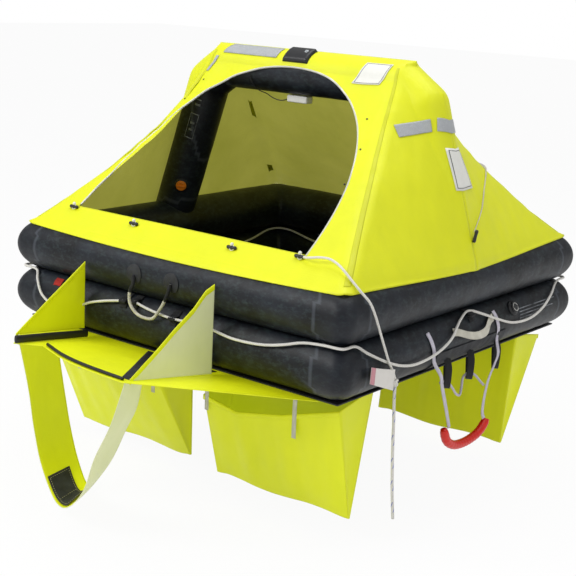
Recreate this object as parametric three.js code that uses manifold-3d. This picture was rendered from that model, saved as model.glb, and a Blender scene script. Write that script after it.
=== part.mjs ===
// Inflatable four person liferaft with its canopy up, in millimetres, +Z up, front towards -Y.
// The origin is the centre of the floor's underside. Cloth skirts, pockets and lines hang below it.
import * as THREE from 'three';
import { mergeVertices } from 'three/addons/utils/BufferGeometryUtils.js';
import Module from 'manifold-3d';

const wasm = await Module();
wasm.setup();

// Driving dimensions
const raftSize = 1680;
const tubeDiameter = 210;
const tubeSpacing = 191.7;
const floorThickness = 4.7;
const cornerInnerRadius = 12;
const cornerOuterRadius = 62;
const archDiameter = 176;
const archHeight = 1022.6;
const archFootHalfSpan = 735;
const ridgeHalfLength = 437;
const kneeX = 543.7;
const kneeDrop = 75.6;
const canopyThickness = 2.6;
const clothThickness = 3;
const seatGap = 0.3;
const padThickness = 3;
const tubeSides = 20;
const archSides = 16;

// Canopy form
const ridgeTangentAngle = 38;
const hipTopX = 470;
const hipTopY = 56;
const hipSagX = 63.7;
const hipSagY = 76.9;
const edgeAngleCorner = 54;
const edgeAngleFront = 42;
const edgeAngleSide = 35;
const endShare = 0.22;
const doorCentre = -33;
const doorHalfWidth = 575;
const doorSill = 466;
const doorTop = 1050;
const doorRoundness = 2.25;
const pipingDiameter = 8;

// Boarding ramp and stirrup
const rampSlope = 0.09;
const rampRootY = -765;
const rampTipY = -1185;
const rampLeftX = -402;
const rampRightX = 262;
const battenHeight = 30;
const frontBattenDiameter = 12;

// Water pockets
const pocketLength = 630;
const pocketInner = 120;
const pocketDepth = 470;
const pocketMouth = 205;
const pocketFrontTopY = 722;
const pocketFrontBottomY = 622;
const pocketBackBottomY = 470;
const pocketLeftBottomY = 512;

// Lines, webbing and fittings
const lifelineDiameter = 10;
const handLineDiameter = 9;
const painterDiameter = 11;
const handleWidth = 12;
const sideHandleWidth = 30;
const ladderWidth = 13;
const stepDiameter = 34;
const cableDiameter = 4;
const bottleDiameter = 108;
const bottleLength = 360;
const bottleX = 400;
const valveFlangeRadius = 30;
const valveCapRadius = 23;
const valveHeight = 8;

// Sizes worked out from the driving ones
const tubeRadius = tubeDiameter / 2;
const tubeHalf = raftSize / 2 - tubeRadius;
const lowerZ = floorThickness + seatGap + tubeRadius;
const upperZ = lowerZ + tubeSpacing;
const jointZ = (lowerZ + upperZ) / 2;
const archRadius = archDiameter / 2;
const upperTop = upperZ + tubeRadius;

const raft = new THREE.Group();

// Mesh helpers

function material(color, roughness, metalness = 0) {
  return new THREE.MeshStandardMaterial({ color, roughness, metalness });
}

const looks = {
  tube: () => material(0x20242a, 0.55),
  canopy: () => material(0xe8ee10, 0.6),
  pale: () => material(0xd5dfa5, 0.6),
  webbing: () => material(0xe6e2da, 0.8),
  rope: () => material(0xdedad0, 0.85),
  black: () => material(0x15171a, 0.7),
  orange: () => material(0xe8940e, 0.5),
  red: () => material(0xe0301e, 0.5),
  silver: () => material(0xb9bdc0, 0.35),
  white: () => material(0xf0f0ee, 0.5),
  clear: () => material(0xe4e8ea, 0.15),
  steel: () => material(0x9aa0a4, 0.35, 0.9),
};

function add(name, geometry, look) {
  const mesh = new THREE.Mesh(geometry, look());
  mesh.name = name;
  raft.add(mesh);
  return mesh;
}

function closed(points, faces) {
  const geometry = new THREE.BufferGeometry();
  geometry.setAttribute('position', new THREE.Float32BufferAttribute(points.flat(), 3));
  geometry.setIndex(faces.flat());
  return geometry;
}

function toSolid(geometry) {
  const bare = geometry.clone();
  bare.deleteAttribute('normal');
  bare.deleteAttribute('uv');
  const merged = mergeVertices(bare, 1e-4);
  const vertProperties = new Float32Array(merged.attributes.position.array);
  const triVerts = new Uint32Array(merged.index.array);
  return new wasm.Manifold(new wasm.Mesh({ numProp: 3, vertProperties, triVerts }));
}

function toGeometry(solid) {
  const mesh = solid.getMesh();
  const geometry = new THREE.BufferGeometry();
  geometry.setAttribute('position', new THREE.BufferAttribute(mesh.vertProperties, 3));
  geometry.setIndex(new THREE.BufferAttribute(mesh.triVerts, 1));
  return geometry;
}

// The largest single body of a cut solid; slivers left by a cut are dropped.
function mainBody(solid) {
  const bodies = solid.decompose();
  bodies.sort((a, b) => b.volume() - a.volume());
  return bodies[0];
}

function placed(geometry, x, y, z) {
  return geometry.clone().translate(x, y, z);
}

// A closed solid from rings of points; the first and last ring are capped or joined to each other.
function loft(rings, joined = false) {
  const size = rings[0].length;
  const points = rings.flat();
  const faces = [];
  const spans = joined ? rings.length : rings.length - 1;
  for (let i = 0; i < spans; i += 1) {
    const a = i * size;
    const b = ((i + 1) % rings.length) * size;
    for (let j = 0; j < size; j += 1) {
      const k = (j + 1) % size;
      faces.push([a + j, a + k, b + k], [a + j, b + k, b + j]);
    }
  }
  if (!joined) {
    const last = (rings.length - 1) * size;
    for (let j = 1; j < size - 1; j += 1) {
      faces.push([0, j + 1, j], [last, last + j, last + j + 1]);
    }
  }
  return closed(points, faces);
}

// A closed sheet from a grid of points: the grid pushed along its normals by two distances.
function sheet(grid, lower, upper) {
  const rows = grid.length;
  const cols = grid[0].length;
  const flat = [];
  for (let i = 0; i < rows - 1; i += 1) {
    for (let j = 0; j < cols - 1; j += 1) {
      const a = i * cols + j;
      flat.push([a, a + 1, a + cols + 1], [a, a + cols + 1, a + cols]);
    }
  }
  const base = closed(grid.flat(), flat);
  base.computeVertexNormals();
  const normal = base.attributes.normal;
  const count = rows * cols;
  const pushed = (distance) => grid.flat().map((p, i) => [
    p[0] + normal.getX(i) * distance,
    p[1] + normal.getY(i) * distance,
    p[2] + normal.getZ(i) * distance,
  ]);
  const points = [...pushed(upper), ...pushed(lower)];
  const faces = [...flat, ...flat.map(([a, b, c]) => [a + count, c + count, b + count])];
  const rim = [];
  for (let j = 0; j < cols; j += 1) rim.push(j);
  for (let i = 1; i < rows; i += 1) rim.push(i * cols + cols - 1);
  for (let j = cols - 2; j >= 0; j -= 1) rim.push((rows - 1) * cols + j);
  for (let i = rows - 2; i > 0; i -= 1) rim.push(i * cols);
  rim.forEach((a, i) => {
    const b = rim[(i + 1) % rim.length];
    faces.push([a, b + count, b], [a, a + count, b + count]);
  });
  return closed(points, faces);
}

function vector(p) {
  return new THREE.Vector3(p[0], p[1], p[2]);
}

function curveThrough(points) {
  return new THREE.CatmullRomCurve3(points.map(vector), false, 'centripetal');
}

// A round cord along points; steps are the number of straight pieces in it.
function cord(points, diameter, steps, sides = 8) {
  const section = new THREE.Shape();
  for (let i = 0; i < sides; i += 1) {
    const angle = (i / sides) * Math.PI * 2;
    const x = (Math.cos(angle) * diameter) / 2;
    const y = (Math.sin(angle) * diameter) / 2;
    if (i === 0) section.moveTo(x, y);
    else section.lineTo(x, y);
  }
  section.closePath();
  const extrudePath = curveThrough(points);
  return new THREE.ExtrudeGeometry(section, { steps, bevelEnabled: false, extrudePath });
}

// A flat strap along points; across is the direction of its width.
function strap(points, across, width, thickness, steps) {
  const curve = curveThrough(points);
  const side = vector(across).normalize().multiplyScalar(width / 2);
  const grid = [];
  for (let i = 0; i <= steps; i += 1) {
    const p = curve.getPointAt(i / steps);
    grid.push([p.clone().sub(side).toArray(), p.clone().add(side).toArray()]);
  }
  return sheet(grid, -thickness / 2, thickness / 2);
}

// A solid over an outline in the plane of two axes, from one height to another along the third.
function prism(outline, axes, from, to) {
  const ring = (level) => outline.map((p) => {
    const point = [level, level, level];
    point[axes[0]] = p[0];
    point[axes[1]] = p[1];
    return point;
  });
  const area = outline.reduce((sum, p, i) => {
    const q = outline[(i + 1) % outline.length];
    return sum + p[0] * q[1] - q[0] * p[1];
  }, 0);
  const turn = (axes[0] + 1) % 3 === axes[1] ? 1 : -1;
  const ordered = area * turn > 0 ? ring : (level) => ring(level).reverse();
  const shape = new THREE.Shape(outline.map((p) => new THREE.Vector2(p[0], p[1])));
  const lids = THREE.ShapeUtils.triangulateShape(shape.getPoints(), []);
  const bottom = ordered(from);
  const top = ordered(to);
  const size = outline.length;
  const flip = area * turn > 0 ? (i) => i : (i) => size - 1 - i;
  const faces = [];
  for (let j = 0; j < size; j += 1) {
    const k = (j + 1) % size;
    faces.push([j, k, size + k], [j, size + k, size + j]);
  }
  for (const lid of lids) {
    const [a, b, c] = lid.map(flip);
    const cross = (top[b][axes[0]] - top[a][axes[0]]) * (top[c][axes[1]] - top[a][axes[1]])
      - (top[c][axes[0]] - top[a][axes[0]]) * (top[b][axes[1]] - top[a][axes[1]]);
    const [d, e] = cross * turn > 0 ? [b, c] : [c, b];
    faces.push([size + a, size + d, size + e], [a, e, d]);
  }
  return closed([...bottom, ...top], faces);
}

// Buoyancy tubes: a round section with a flat where the two are glued, carried round a square

function cornerRadiusAt(offset) {
  const share = (offset + tubeRadius) / (2 * tubeRadius);
  return cornerInnerRadius + (cornerOuterRadius - cornerInnerRadius) * share;
}

function squarePlan(offset, cornerSteps = 4) {
  const half = tubeHalf + offset;
  const radius = cornerRadiusAt(offset);
  const points = [];
  for (let corner = 0; corner < 4; corner += 1) {
    for (let i = 0; i <= cornerSteps; i += 1) {
      const angle = ((corner + i / cornerSteps) * Math.PI) / 2;
      const signX = Math.cos(((corner + 0.5) * Math.PI) / 2) > 0 ? 1 : -1;
      const signY = Math.sin(((corner + 0.5) * Math.PI) / 2) > 0 ? 1 : -1;
      points.push([
        signX * (half - radius) + radius * Math.cos(angle),
        signY * (half - radius) + radius * Math.sin(angle),
      ]);
    }
  }
  return points;
}

function ringTube(centreZ, grow, flatSide) {
  const radius = tubeRadius + grow;
  const flatZ = Math.abs(jointZ - centreZ) - seatGap / 2 + grow;
  const plans = [];
  for (let i = 0; i < tubeSides; i += 1) {
    const angle = ((i + 0.5) / tubeSides) * Math.PI * 2;
    let height = Math.sin(angle) * radius;
    if (flatSide > 0) height = Math.min(height, flatZ);
    if (flatSide < 0) height = Math.max(height, -flatZ);
    plans.push(squarePlan(Math.cos(angle) * radius).map((p) => [p[0], p[1], centreZ + height]));
  }
  const rings = plans[0].map((unused, k) => plans.map((plan) => plan[k]).reverse());
  return loft(rings, true);
}

const lowerTube = ringTube(lowerZ, 0, 1);
const upperTube = ringTube(upperZ, 0, -1);
const lowerTubeGrown = toSolid(ringTube(lowerZ, seatGap, 1));
const upperTubeGrown = toSolid(ringTube(upperZ, seatGap, -1));
const bothTubesGrown = lowerTubeGrown.add(upperTubeGrown);

const floorHalf = tubeHalf + 45;
const floorSheet = new THREE.BoxGeometry(floorHalf * 2, floorHalf * 2, floorThickness);
add('floor_sheet', placed(floorSheet, 0, 0, floorThickness / 2), looks.black);

// Arch: two legs, two mitred knees and a level ridge, all one air tube

const archLine = [
  [-archFootHalfSpan, upperTop - 40],
  [-kneeX, archHeight - kneeDrop],
  [-ridgeHalfLength, archHeight],
  [ridgeHalfLength, archHeight],
  [kneeX, archHeight - kneeDrop],
  [archFootHalfSpan, upperTop - 40],
];

function archTube(grow) {
  const radius = archRadius + grow;
  const rings = archLine.map((p, i) => {
    const before = archLine[Math.max(i - 1, 0)];
    const after = archLine[Math.min(i + 1, archLine.length - 1)];
    const into = new THREE.Vector2(p[0] - before[0], p[1] - before[1]);
    const out = new THREE.Vector2(after[0] - p[0], after[1] - p[1]);
    if (i === 0) into.copy(out);
    if (i === archLine.length - 1) out.copy(into);
    into.normalize();
    out.normalize();
    const mean = into.clone().add(out).normalize();
    const stretch = radius / mean.dot(into);
    const ring = [];
    for (let j = 0; j < archSides; j += 1) {
      const angle = (j / archSides) * Math.PI * 2;
      ring.push([
        p[0] - mean.y * Math.cos(angle) * stretch,
        Math.sin(angle) * radius,
        p[1] + mean.x * Math.cos(angle) * stretch,
      ]);
    }
    return ring;
  });
  return loft(rings.reverse());
}

const archSolid = toSolid(archTube(0)).subtract(upperTubeGrown);
const archGrown = toSolid(archTube(seatGap));
add('arch_tube', toGeometry(archSolid), looks.tube);

// Canopy surface. u runs from the right seam round the front to the left seam, v from edge to ridge.

function mix(a, b, share) {
  return a + (b - a) * share;
}

// The arch's outer outline, a given reach outside its centre line, as [x, z] from foot to ridge.
function archOutline(reach) {
  const half = archLine.slice(3).reverse();
  return half.map((p, i) => {
    const before = half[Math.max(i - 1, 0)];
    const after = half[i + 1] || [0, archHeight];
    const into = new THREE.Vector2(p[0] - before[0], p[1] - before[1]);
    const out = new THREE.Vector2(after[0] - p[0], after[1] - p[1]);
    if (i === 0) into.copy(out);
    into.normalize();
    out.normalize();
    const mean = into.clone().add(out).normalize();
    const stretch = reach / mean.dot(into);
    return [p[0] + mean.y * stretch, p[1] - mean.x * stretch];
  });
}

function archOuterX(height) {
  const outline = archOutline(ridgeReach);
  for (let i = 1; i < outline.length; i += 1) {
    if (height <= outline[i][1]) {
      const share = (height - outline[i - 1][1]) / (outline[i][1] - outline[i - 1][1]);
      return mix(outline[i - 1][0], outline[i][0], share);
    }
  }
  return outline[outline.length - 1][0];
}

const edgeReach = tubeRadius + seatGap + 1.5;
const ridgeReach = archRadius + seatGap + 3;
const tangentZ = archHeight + ridgeReach * Math.cos((ridgeTangentAngle * Math.PI) / 180);

function edgePoint(u) {
  const fold = u > 0.5 ? 1 - u : u;
  const onEnd = fold < endShare;
  const along = onEnd ? fold / endShare : (0.5 - fold) / (0.5 - endShare);
  const middle = onEnd ? edgeAngleSide : edgeAngleFront;
  const angle = (mix(middle, edgeAngleCorner, along ** 2) * Math.PI) / 180;
  const out = tubeHalf + edgeReach * Math.cos(angle);
  const z = upperZ + edgeReach * Math.sin(angle);
  const sign = u > 0.5 ? -1 : 1;
  return onEnd ? [sign * out, -along * out, z] : [sign * along * out, -out, z];
}

function rawCanopy(u, v) {
  const fold = u > 0.5 ? 1 - u : u;
  const onEnd = fold < endShare;
  const along = onEnd ? fold / endShare : (0.5 - fold) / (0.5 - endShare);
  const edge = edgePoint(u);
  const sag = 4 * v * (1 - v) * (1 - 0.09 * (1 - 2 * v));
  const z = mix(edge[2], tangentZ, v);
  const hipX = mix(Math.abs(edgePoint(endShare)[0]), hipTopX, v) - hipSagX * sag;
  const hipY = mix(-edgePoint(onEnd ? endShare : u)[1], hipTopY, v) - hipSagY * sag;
  const sign = u > 0.5 ? -1 : 1;
  if (!onEnd) return [sign * along * hipX, -hipY, z];
  const legX = v > 0 ? Math.max(archOuterX(z), hipX) : Math.abs(edge[0]);
  const startX = mix(Math.abs(edge[0]), legX, Math.min(v / 0.08, 1));
  return [sign * mix(startX, hipX, along), -along * hipY, z];
}

// Keeps a point at least a given reach from a line between two points.
function pushedOff(p, from, to, reach) {
  const line = vector(to).sub(vector(from));
  const here = vector(p).sub(vector(from));
  const share = THREE.MathUtils.clamp(here.dot(line) / line.lengthSq(), 0, 1);
  const foot = vector(from).add(line.multiplyScalar(share));
  const away = vector(p).sub(foot);
  const distance = away.length();
  if (distance >= reach) return p;
  return foot.add(away.multiplyScalar(reach / distance)).toArray();
}

function offTheFrame(p) {
  let point = p;
  const legs = archLine.map((q) => [q[0], 0, q[1]]);
  for (let i = 0; i < legs.length - 1; i += 1) {
    point = pushedOff(point, legs[i], legs[i + 1], ridgeReach);
  }
  const outX = Math.abs(point[0]) - tubeHalf;
  const outY = Math.abs(point[1]) - tubeHalf;
  const out = Math.max(outX, outY);
  const distance = Math.hypot(out, point[2] - upperZ);
  if (distance < edgeReach && out > 0) {
    const scale = (out * edgeReach) / distance - out;
    const z = upperZ + ((point[2] - upperZ) * edgeReach) / distance;
    const x = outX >= outY ? point[0] + Math.sign(point[0]) * scale : point[0];
    const y = outY >= outX ? point[1] + Math.sign(point[1]) * scale : point[1];
    point = [x, y, z];
  }
  return point;
}

function canopyPoint(u, v) {
  const width = 0.014 + 0.028 * v;
  for (const hip of [endShare, 1 - endShare]) {
    const share = (u - hip + width) / (2 * width);
    if (share > 0 && share < 1) {
      const a = rawCanopy(hip - width, v);
      const b = rawCanopy(hip, v);
      const c = rawCanopy(hip + width, v);
      const blended = a.map((value, i) => value * (1 - share) ** 2
        + b[i] * 2 * share * (1 - share) + c[i] * share ** 2);
      return offTheFrame(blended);
    }
  }
  return offTheFrame(rawCanopy(u, v));
}

function canopyColumns() {
  const columns = [0, 0.02, 0.045, 0.085, 0.14];
  for (let i = -2; i <= 2; i += 1) columns.push(endShare + (i * 0.042) / 2);
  for (let i = 1; i < 10; i += 1) columns.push(mix(endShare + 0.05, 1 - endShare - 0.05, i / 10));
  for (let i = -2; i <= 2; i += 1) columns.push(1 - endShare + (i * 0.042) / 2);
  columns.push(0.86, 0.915, 0.955, 0.98, 1);
  return columns;
}

const canopyRows = [0, 0.05, 0.12, 0.22, 0.34, 0.46, 0.58, 0.7, 0.8, 0.87, 0.94, 1];

// side is -1 for the front half and 1 for the back half; y stops just short of the ridge line.
function canopyGrid(side) {
  const columns = canopyColumns();
  const rows = canopyRows.map((v) => columns.map((u) => canopyPoint(u, v)));
  const top = rows[rows.length - 1];
  for (const angle of [ridgeTangentAngle * 0.5, 0]) {
    const turn = (angle * Math.PI) / 180;
    const share = Math.sin(turn) / Math.sin((ridgeTangentAngle * Math.PI) / 180);
    const z = archHeight + ridgeReach * Math.cos(turn);
    rows.push(top.map((p) => [p[0], p[1] * share, Math.max(z, p[2])]));
  }
  const grid = rows.map((row) => row.map((p) => [p[0], side * Math.max(-p[1], seatGap / 2), p[2]]));
  return side < 0 ? grid.map((row) => [...row].reverse()) : grid;
}

function canopyLayer(side, lower, upper) {
  return toSolid(sheet(canopyGrid(side), lower, upper));
}

function doorOutline(inset, steps) {
  const width = doorHalfWidth - inset;
  const top = doorTop - inset;
  const points = [];
  for (let i = 0; i <= steps; i += 1) {
    const angle = Math.PI * (i / steps);
    const rise = Math.sin(angle);
    const reach = (1 - rise ** 2) ** (1 / doorRoundness);
    points.push([
      doorCentre + Math.sign(Math.cos(angle)) * width * reach,
      mix(doorSill, top, rise),
    ]);
  }
  return points;
}

const doorCut = toSolid(prism(doorOutline(0, 36), [0, 2], -900, -40));
const canopyFront = canopyLayer(-1, 0, canopyThickness)
  .subtract(archGrown)
  .subtract(upperTubeGrown)
  .subtract(doorCut);
const canopyBack = canopyLayer(1, 0, canopyThickness)
  .subtract(archGrown)
  .subtract(upperTubeGrown);
add('canopy_front', toGeometry(canopyFront), looks.canopy);
add('canopy_back', toGeometry(canopyBack), looks.canopy);

// Door piping: a bead sewn round the opening's edge, from one end of the sill to the other

function canopyYAt(x, z) {
  let low = 0;
  let high = 1;
  const aside = Math.abs(x);
  let point = [0, 0, 0];
  for (let i = 0; i < 24; i += 1) {
    const v = (low + high) / 2;
    const reach = Math.abs(rawCanopy(1 - endShare, v)[0]);
    const share = Math.min(aside / reach, 1);
    const u = mix(0.5, endShare, share);
    point = canopyPoint(u, v);
    if (point[2] < z) low = v;
    else high = v;
  }
  return point[1];
}

const pipingInset = pipingDiameter / 2 + seatGap + 0.6;
const pipingRoute = doorOutline(pipingInset, 28).slice(1, -1)
  .map((p) => [p[0], canopyYAt(p[0], p[1]) - canopyThickness / 2, p[1]]);
add('door_piping', cord(pipingRoute, pipingDiameter, 44), looks.white);

// Layers that follow the canopy, used to cut patches that lie on it

const patchThickness = 2;
const patchLow = canopyThickness + seatGap;
const frontPatchLayer = canopyLayer(-1, patchLow, patchLow + patchThickness);
const backPatchLayer = canopyLayer(1, patchLow, patchLow + patchThickness);
const frontSeat = canopyLayer(-1, -20, patchLow);

function endLayer(lower, upper) {
  const columns = [0, 0.02, 0.045, 0.085, 0.14, endShare - 0.042];
  const grid = canopyRows.map((v) => {
    const front = columns.map((u) => canopyPoint(u, v));
    const back = front.map((p) => [p[0], -p[1], p[2]]).slice(1);
    return [...[...front].reverse(), ...back];
  });
  return toSolid(sheet(grid, lower, upper));
}

const endPatchLayer = endLayer(patchLow, patchLow + patchThickness);
const endSeat = endLayer(-20, patchLow);

function patch(name, layer, outline, axes, from, to, look) {
  const cutter = toSolid(prism(outline, axes, from, to));
  add(name, toGeometry(mainBody(layer.intersect(cutter))), look);
}

const roofLow = archHeight - 22.6;
const roofHigh = archHeight + 277.4;
const roofReflector = [[-412, -68], [-128, -68], [-124, -22], [-390, -22]];
const ridgeEndTape = [[-472, 1000], [-456, 1000], [-428, 1062], [-444, 1062]];
const capacityPatch = [[277, 1016], [404, 1018], [436, 1094], [312, 1092]];
const endReflectorFront = [[-184, 846], [-62, 866], [-56, 910], [-180, 888]];
const endReflectorRear = [[-49, 867], [45, 855], [40, 903], [-40, 914]];
const sidePatch = [[-33, 655], [122, 646], [133, 795], [-39, 808]];
const backReflectorLeft = [[-540, 836], [-194, 866], [-184, 908], [-524, 876]];
const backReflectorRight = [[-42, 848], [22, 852], [48, 906], [-14, 902]];
patch('roof_reflector', frontPatchLayer, roofReflector, [0, 1], roofLow, roofHigh, looks.silver);
patch('ridge_end_tape', frontPatchLayer, ridgeEndTape, [0, 2], -300, -30, looks.silver);
patch('capacity_patch', frontPatchLayer, capacityPatch, [0, 2], -300, -30, looks.white);
patch('end_reflector_front', endPatchLayer, endReflectorFront, [1, 2], 300, 900, looks.silver);
patch('end_reflector_rear', endPatchLayer, endReflectorRear, [1, 2], 300, 900, looks.silver);
patch('side_patch', endPatchLayer, sidePatch, [1, 2], 300, 1000, looks.white);
patch('back_reflector_left', backPatchLayer, backReflectorLeft, [0, 2], 60, 500, looks.silver);
patch('back_reflector_right', backPatchLayer, backReflectorRight, [0, 2], 60, 500, looks.silver);

// Roof lamp: a base that follows the ridge and a clear dome on it

const lampBaseHeight = 12;
const lampBase = [[-90, -74], [36, -74], [36, -16], [-90, -16]];
const lampBaseLayer = canopyLayer(-1, patchLow, patchLow + lampBaseHeight);
patch('roof_lamp_base', lampBaseLayer, lampBase, [0, 1], roofLow, roofHigh, looks.black);
const domeRadius = 13;
const domeProfile = [[0, 0], [domeRadius, 0], [domeRadius, 14], [11, 22], [6, 27], [0, 28]];
const dome = new THREE.LatheGeometry(domeProfile.map((p) => new THREE.Vector2(...p)), 16);
dome.rotateX(Math.PI / 2 + 0.35);
const domeSeat = canopyLayer(-1, 0, patchLow + lampBaseHeight + seatGap);
const domeSolid = mainBody(toSolid(placed(dome, 8, -44, 1098)).subtract(domeSeat));
add('roof_lamp_dome', toGeometry(domeSolid), looks.clear);

// Cabin lamp under the ridge and its cable

const cabinLamp = new THREE.BoxGeometry(102, 46, 34);
const cabinLampSolid = toSolid(placed(cabinLamp, -55, 0, archHeight - archRadius - 14));
add('cabin_lamp', toGeometry(cabinLampSolid.subtract(archGrown)), looks.white);
const beamUnder = archHeight - archRadius - cableDiameter / 2 - 0.6;
const cableRoute = [
  [-107, 0, beamUnder - 12],
  [-124, -2, beamUnder - 22],
  [-150, -8, beamUnder - 27],
  [-182, -16, beamUnder - 20],
  [-210, -26, beamUnder - 4],
  [-232, -50, beamUnder + 9],
  [-246, -78, beamUnder + 38],
  [-250, -89.5, beamUnder + 66],
];
add('cabin_lamp_cable', cord(cableRoute, cableDiameter, 36), looks.black);

// Valves: a flange seated on a tube and a quarter-turn cap on its own axis

function facing(geometry, place, normal) {
  const turn = new THREE.Quaternion();
  turn.setFromUnitVectors(new THREE.Vector3(0, 0, 1), vector(normal).normalize());
  return geometry.clone().applyQuaternion(turn).translate(...place);
}

function valve(name, place, normal, seat, look) {
  const flange = new THREE.CylinderGeometry(valveFlangeRadius, valveFlangeRadius, 30, 24);
  flange.rotateX(Math.PI / 2).translate(0, 0, valveHeight - 15);
  const body = toSolid(facing(flange, place, normal)).subtract(seat);
  add(`${name}_body`, toGeometry(body), looks.black);
  const rim = new THREE.CylinderGeometry(valveCapRadius - 2, valveCapRadius, 7, 24);
  const wing = new THREE.BoxGeometry(valveCapRadius * 1.5, 6, 6);
  rim.rotateX(Math.PI / 2).translate(0, 0, valveHeight + seatGap + 3.5);
  wing.translate(0, 0, valveHeight + seatGap + 9);
  const cap = toSolid(rim).add(toSolid(wing));
  add(`${name}_cap`, facing(toGeometry(cap), place, normal), look);
}

const archValveZ = 508;
const archValveTurn = -50;
const legLean = Math.atan2(archFootHalfSpan - kneeX, archHeight - kneeDrop - upperTop + 40);
const archValveX = -mix(
  archFootHalfSpan,
  kneeX,
  (archValveZ - upperTop + 40) / (archHeight - kneeDrop - upperTop + 40),
);
const valveSwing = (archValveTurn * Math.PI) / 180;
const archValveNormal = [
  Math.cos(valveSwing) * Math.cos(legLean),
  Math.sin(valveSwing),
  -Math.cos(valveSwing) * Math.sin(legLean),
];
const archValvePlace = [
  archValveX + archValveNormal[0] * archRadius,
  archValveNormal[1] * archRadius,
  archValveZ + archValveNormal[2] * archRadius,
];
valve('arch_valve', archValvePlace, archValveNormal, archGrown, looks.orange);

const tubeValveY = 318;
const tubeValveAngle = (30 * Math.PI) / 180;
const tubeValveNormal = [Math.cos(tubeValveAngle), 0, Math.sin(tubeValveAngle)];
const tubeValvePlace = [
  tubeHalf + tubeRadius * tubeValveNormal[0],
  tubeValveY,
  lowerZ + tubeRadius * tubeValveNormal[2],
];
valve('tube_valve', tubeValvePlace, tubeValveNormal, lowerTubeGrown, looks.white);

// Sill toggles: a short bar with a ball, lying on the canopy below the door

const togglePlaces = [[-621, 463], [-272, 451], [233, 445], [526, 461]];
function toggleSolid(p, grow) {
  const y = canopyYAt(p[0], p[1]) - canopyThickness - 6;
  const bar = new THREE.CapsuleGeometry(7.5 + grow, 30, 2, 8);
  bar.rotateZ(Math.PI / 2).translate(p[0], y, p[1] + 3);
  const ball = new THREE.SphereGeometry(8 + grow, 8, 6);
  ball.translate(p[0], y - 5, p[1] + 11);
  return toSolid(bar).add(toSolid(ball));
}

togglePlaces.forEach((p, i) => {
  const toggle = mainBody(toggleSolid(p, 0).subtract(frontSeat));
  add(`sill_toggle_${i + 1}`, toGeometry(toggle), looks.black);
});

// Canopy tie: a webbing with a toggle at its end, lying on the end wall

const tieOutline = [[431, 705], [441, 703], [24, 497], [14, 499]];
const tieLayer = endPatchLayer.intersect(toSolid(prism(tieOutline, [1, 2], 500, 1000)));
const tieToggle = new THREE.CapsuleGeometry(8, 34, 4, 10);
tieToggle.rotateX(0.35).rotateX(Math.PI / 2).translate(797, 9, 488);
const tieSolid = mainBody(tieLayer.add(toSolid(tieToggle).subtract(endSeat)));
add('canopy_tie', toGeometry(tieSolid), looks.webbing);

// Lines that the raft holds. Each point is [place along the side, height].

function besideTubes(height, reach) {
  const centre = height < jointZ ? lowerZ : upperZ;
  return Math.sqrt(Math.max(reach ** 2 - (height - centre) ** 2, 0));
}

const lineReach = tubeRadius + padThickness + lifelineDiameter / 2 + 5;
const sideTurns = [
  (along, out) => [along, -out],
  (along, out) => [out, along],
  (along, out) => [-along, out],
  (along, out) => [-out, -along],
];

function lineOnSide(side, list, outward) {
  return list.map(([along, z]) => {
    const out = tubeHalf + outward * besideTubes(z, lineReach);
    const [x, y] = sideTurns[side](along, out);
    return [x, y, z];
  });
}

function cornerOf(side, out, z) {
  const [x, y] = sideTurns[side](out, out);
  return [x, y, z];
}

const frontRight = [[-150, 188], [-60, 176], [60, 168], [160, 172], [250, 168], [358, 158], [484, 164],
  [568, 180], [639, 199], [722, 208]];
const rightLine = [[-728, 205], [-693, 180], [-570, 122], [-455, 92], [-371, 89], [-269, 104],
  [-181, 136], [-80, 188], [0, 203], [85, 178], [154, 152], [286, 114], [432, 108], [528, 131],
  [617, 167], [728, 205]];
const backLine = [[-728, 205], [-600, 165], [-400, 112], [-200, 150], [0, 203], [200, 150],
  [400, 112], [600, 165], [728, 205]];
const leftLine = [[-728, 205], [-600, 165], [-400, 112], [-200, 150], [0, 203], [200, 150],
  [400, 112], [600, 165], [728, 205]];
const frontLeft = [[-722, 205], [-686, 176], [-640, 128], [-576, 96], [-500, 92], [-430, 118],
  [-366, 146], [-290, 166], [-205, 182]];
const cornerOut = 800;
const outerRoute = [
  ...lineOnSide(0, frontRight, 1),
  cornerOf(0, cornerOut, 210),
  ...lineOnSide(1, rightLine, 1),
  cornerOf(1, cornerOut, 210),
  ...lineOnSide(2, backLine, 1),
  cornerOf(2, cornerOut, 210),
  ...lineOnSide(3, leftLine, 1),
  cornerOf(3, cornerOut, 210),
  ...lineOnSide(0, frontLeft, 1),
];
add('outer_lifeline', cord(outerRoute, lifelineDiameter, 96), looks.rope);
const lifelineGrown = toSolid(cord(outerRoute, lifelineDiameter + 2 * seatGap, 96));

const innerLine = [[-600, 206], [-430, 182], [-280, 170], [-130, 184], [0, 206], [130, 184],
  [280, 170], [430, 182], [600, 206]];
const innerCornerOut = 650;
const innerRoute = [];
for (const side of [2, 3, 0, 1]) {
  innerRoute.push(...lineOnSide(side, innerLine, -1));
  if (side !== 1) innerRoute.push(cornerOf(side, innerCornerOut, 208));
}
add('inner_lifeline', cord(innerRoute, lifelineDiameter, 64), looks.rope);

const innerGrown = toSolid(cord(innerRoute, lifelineDiameter + 2 * seatGap, 64));

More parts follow.
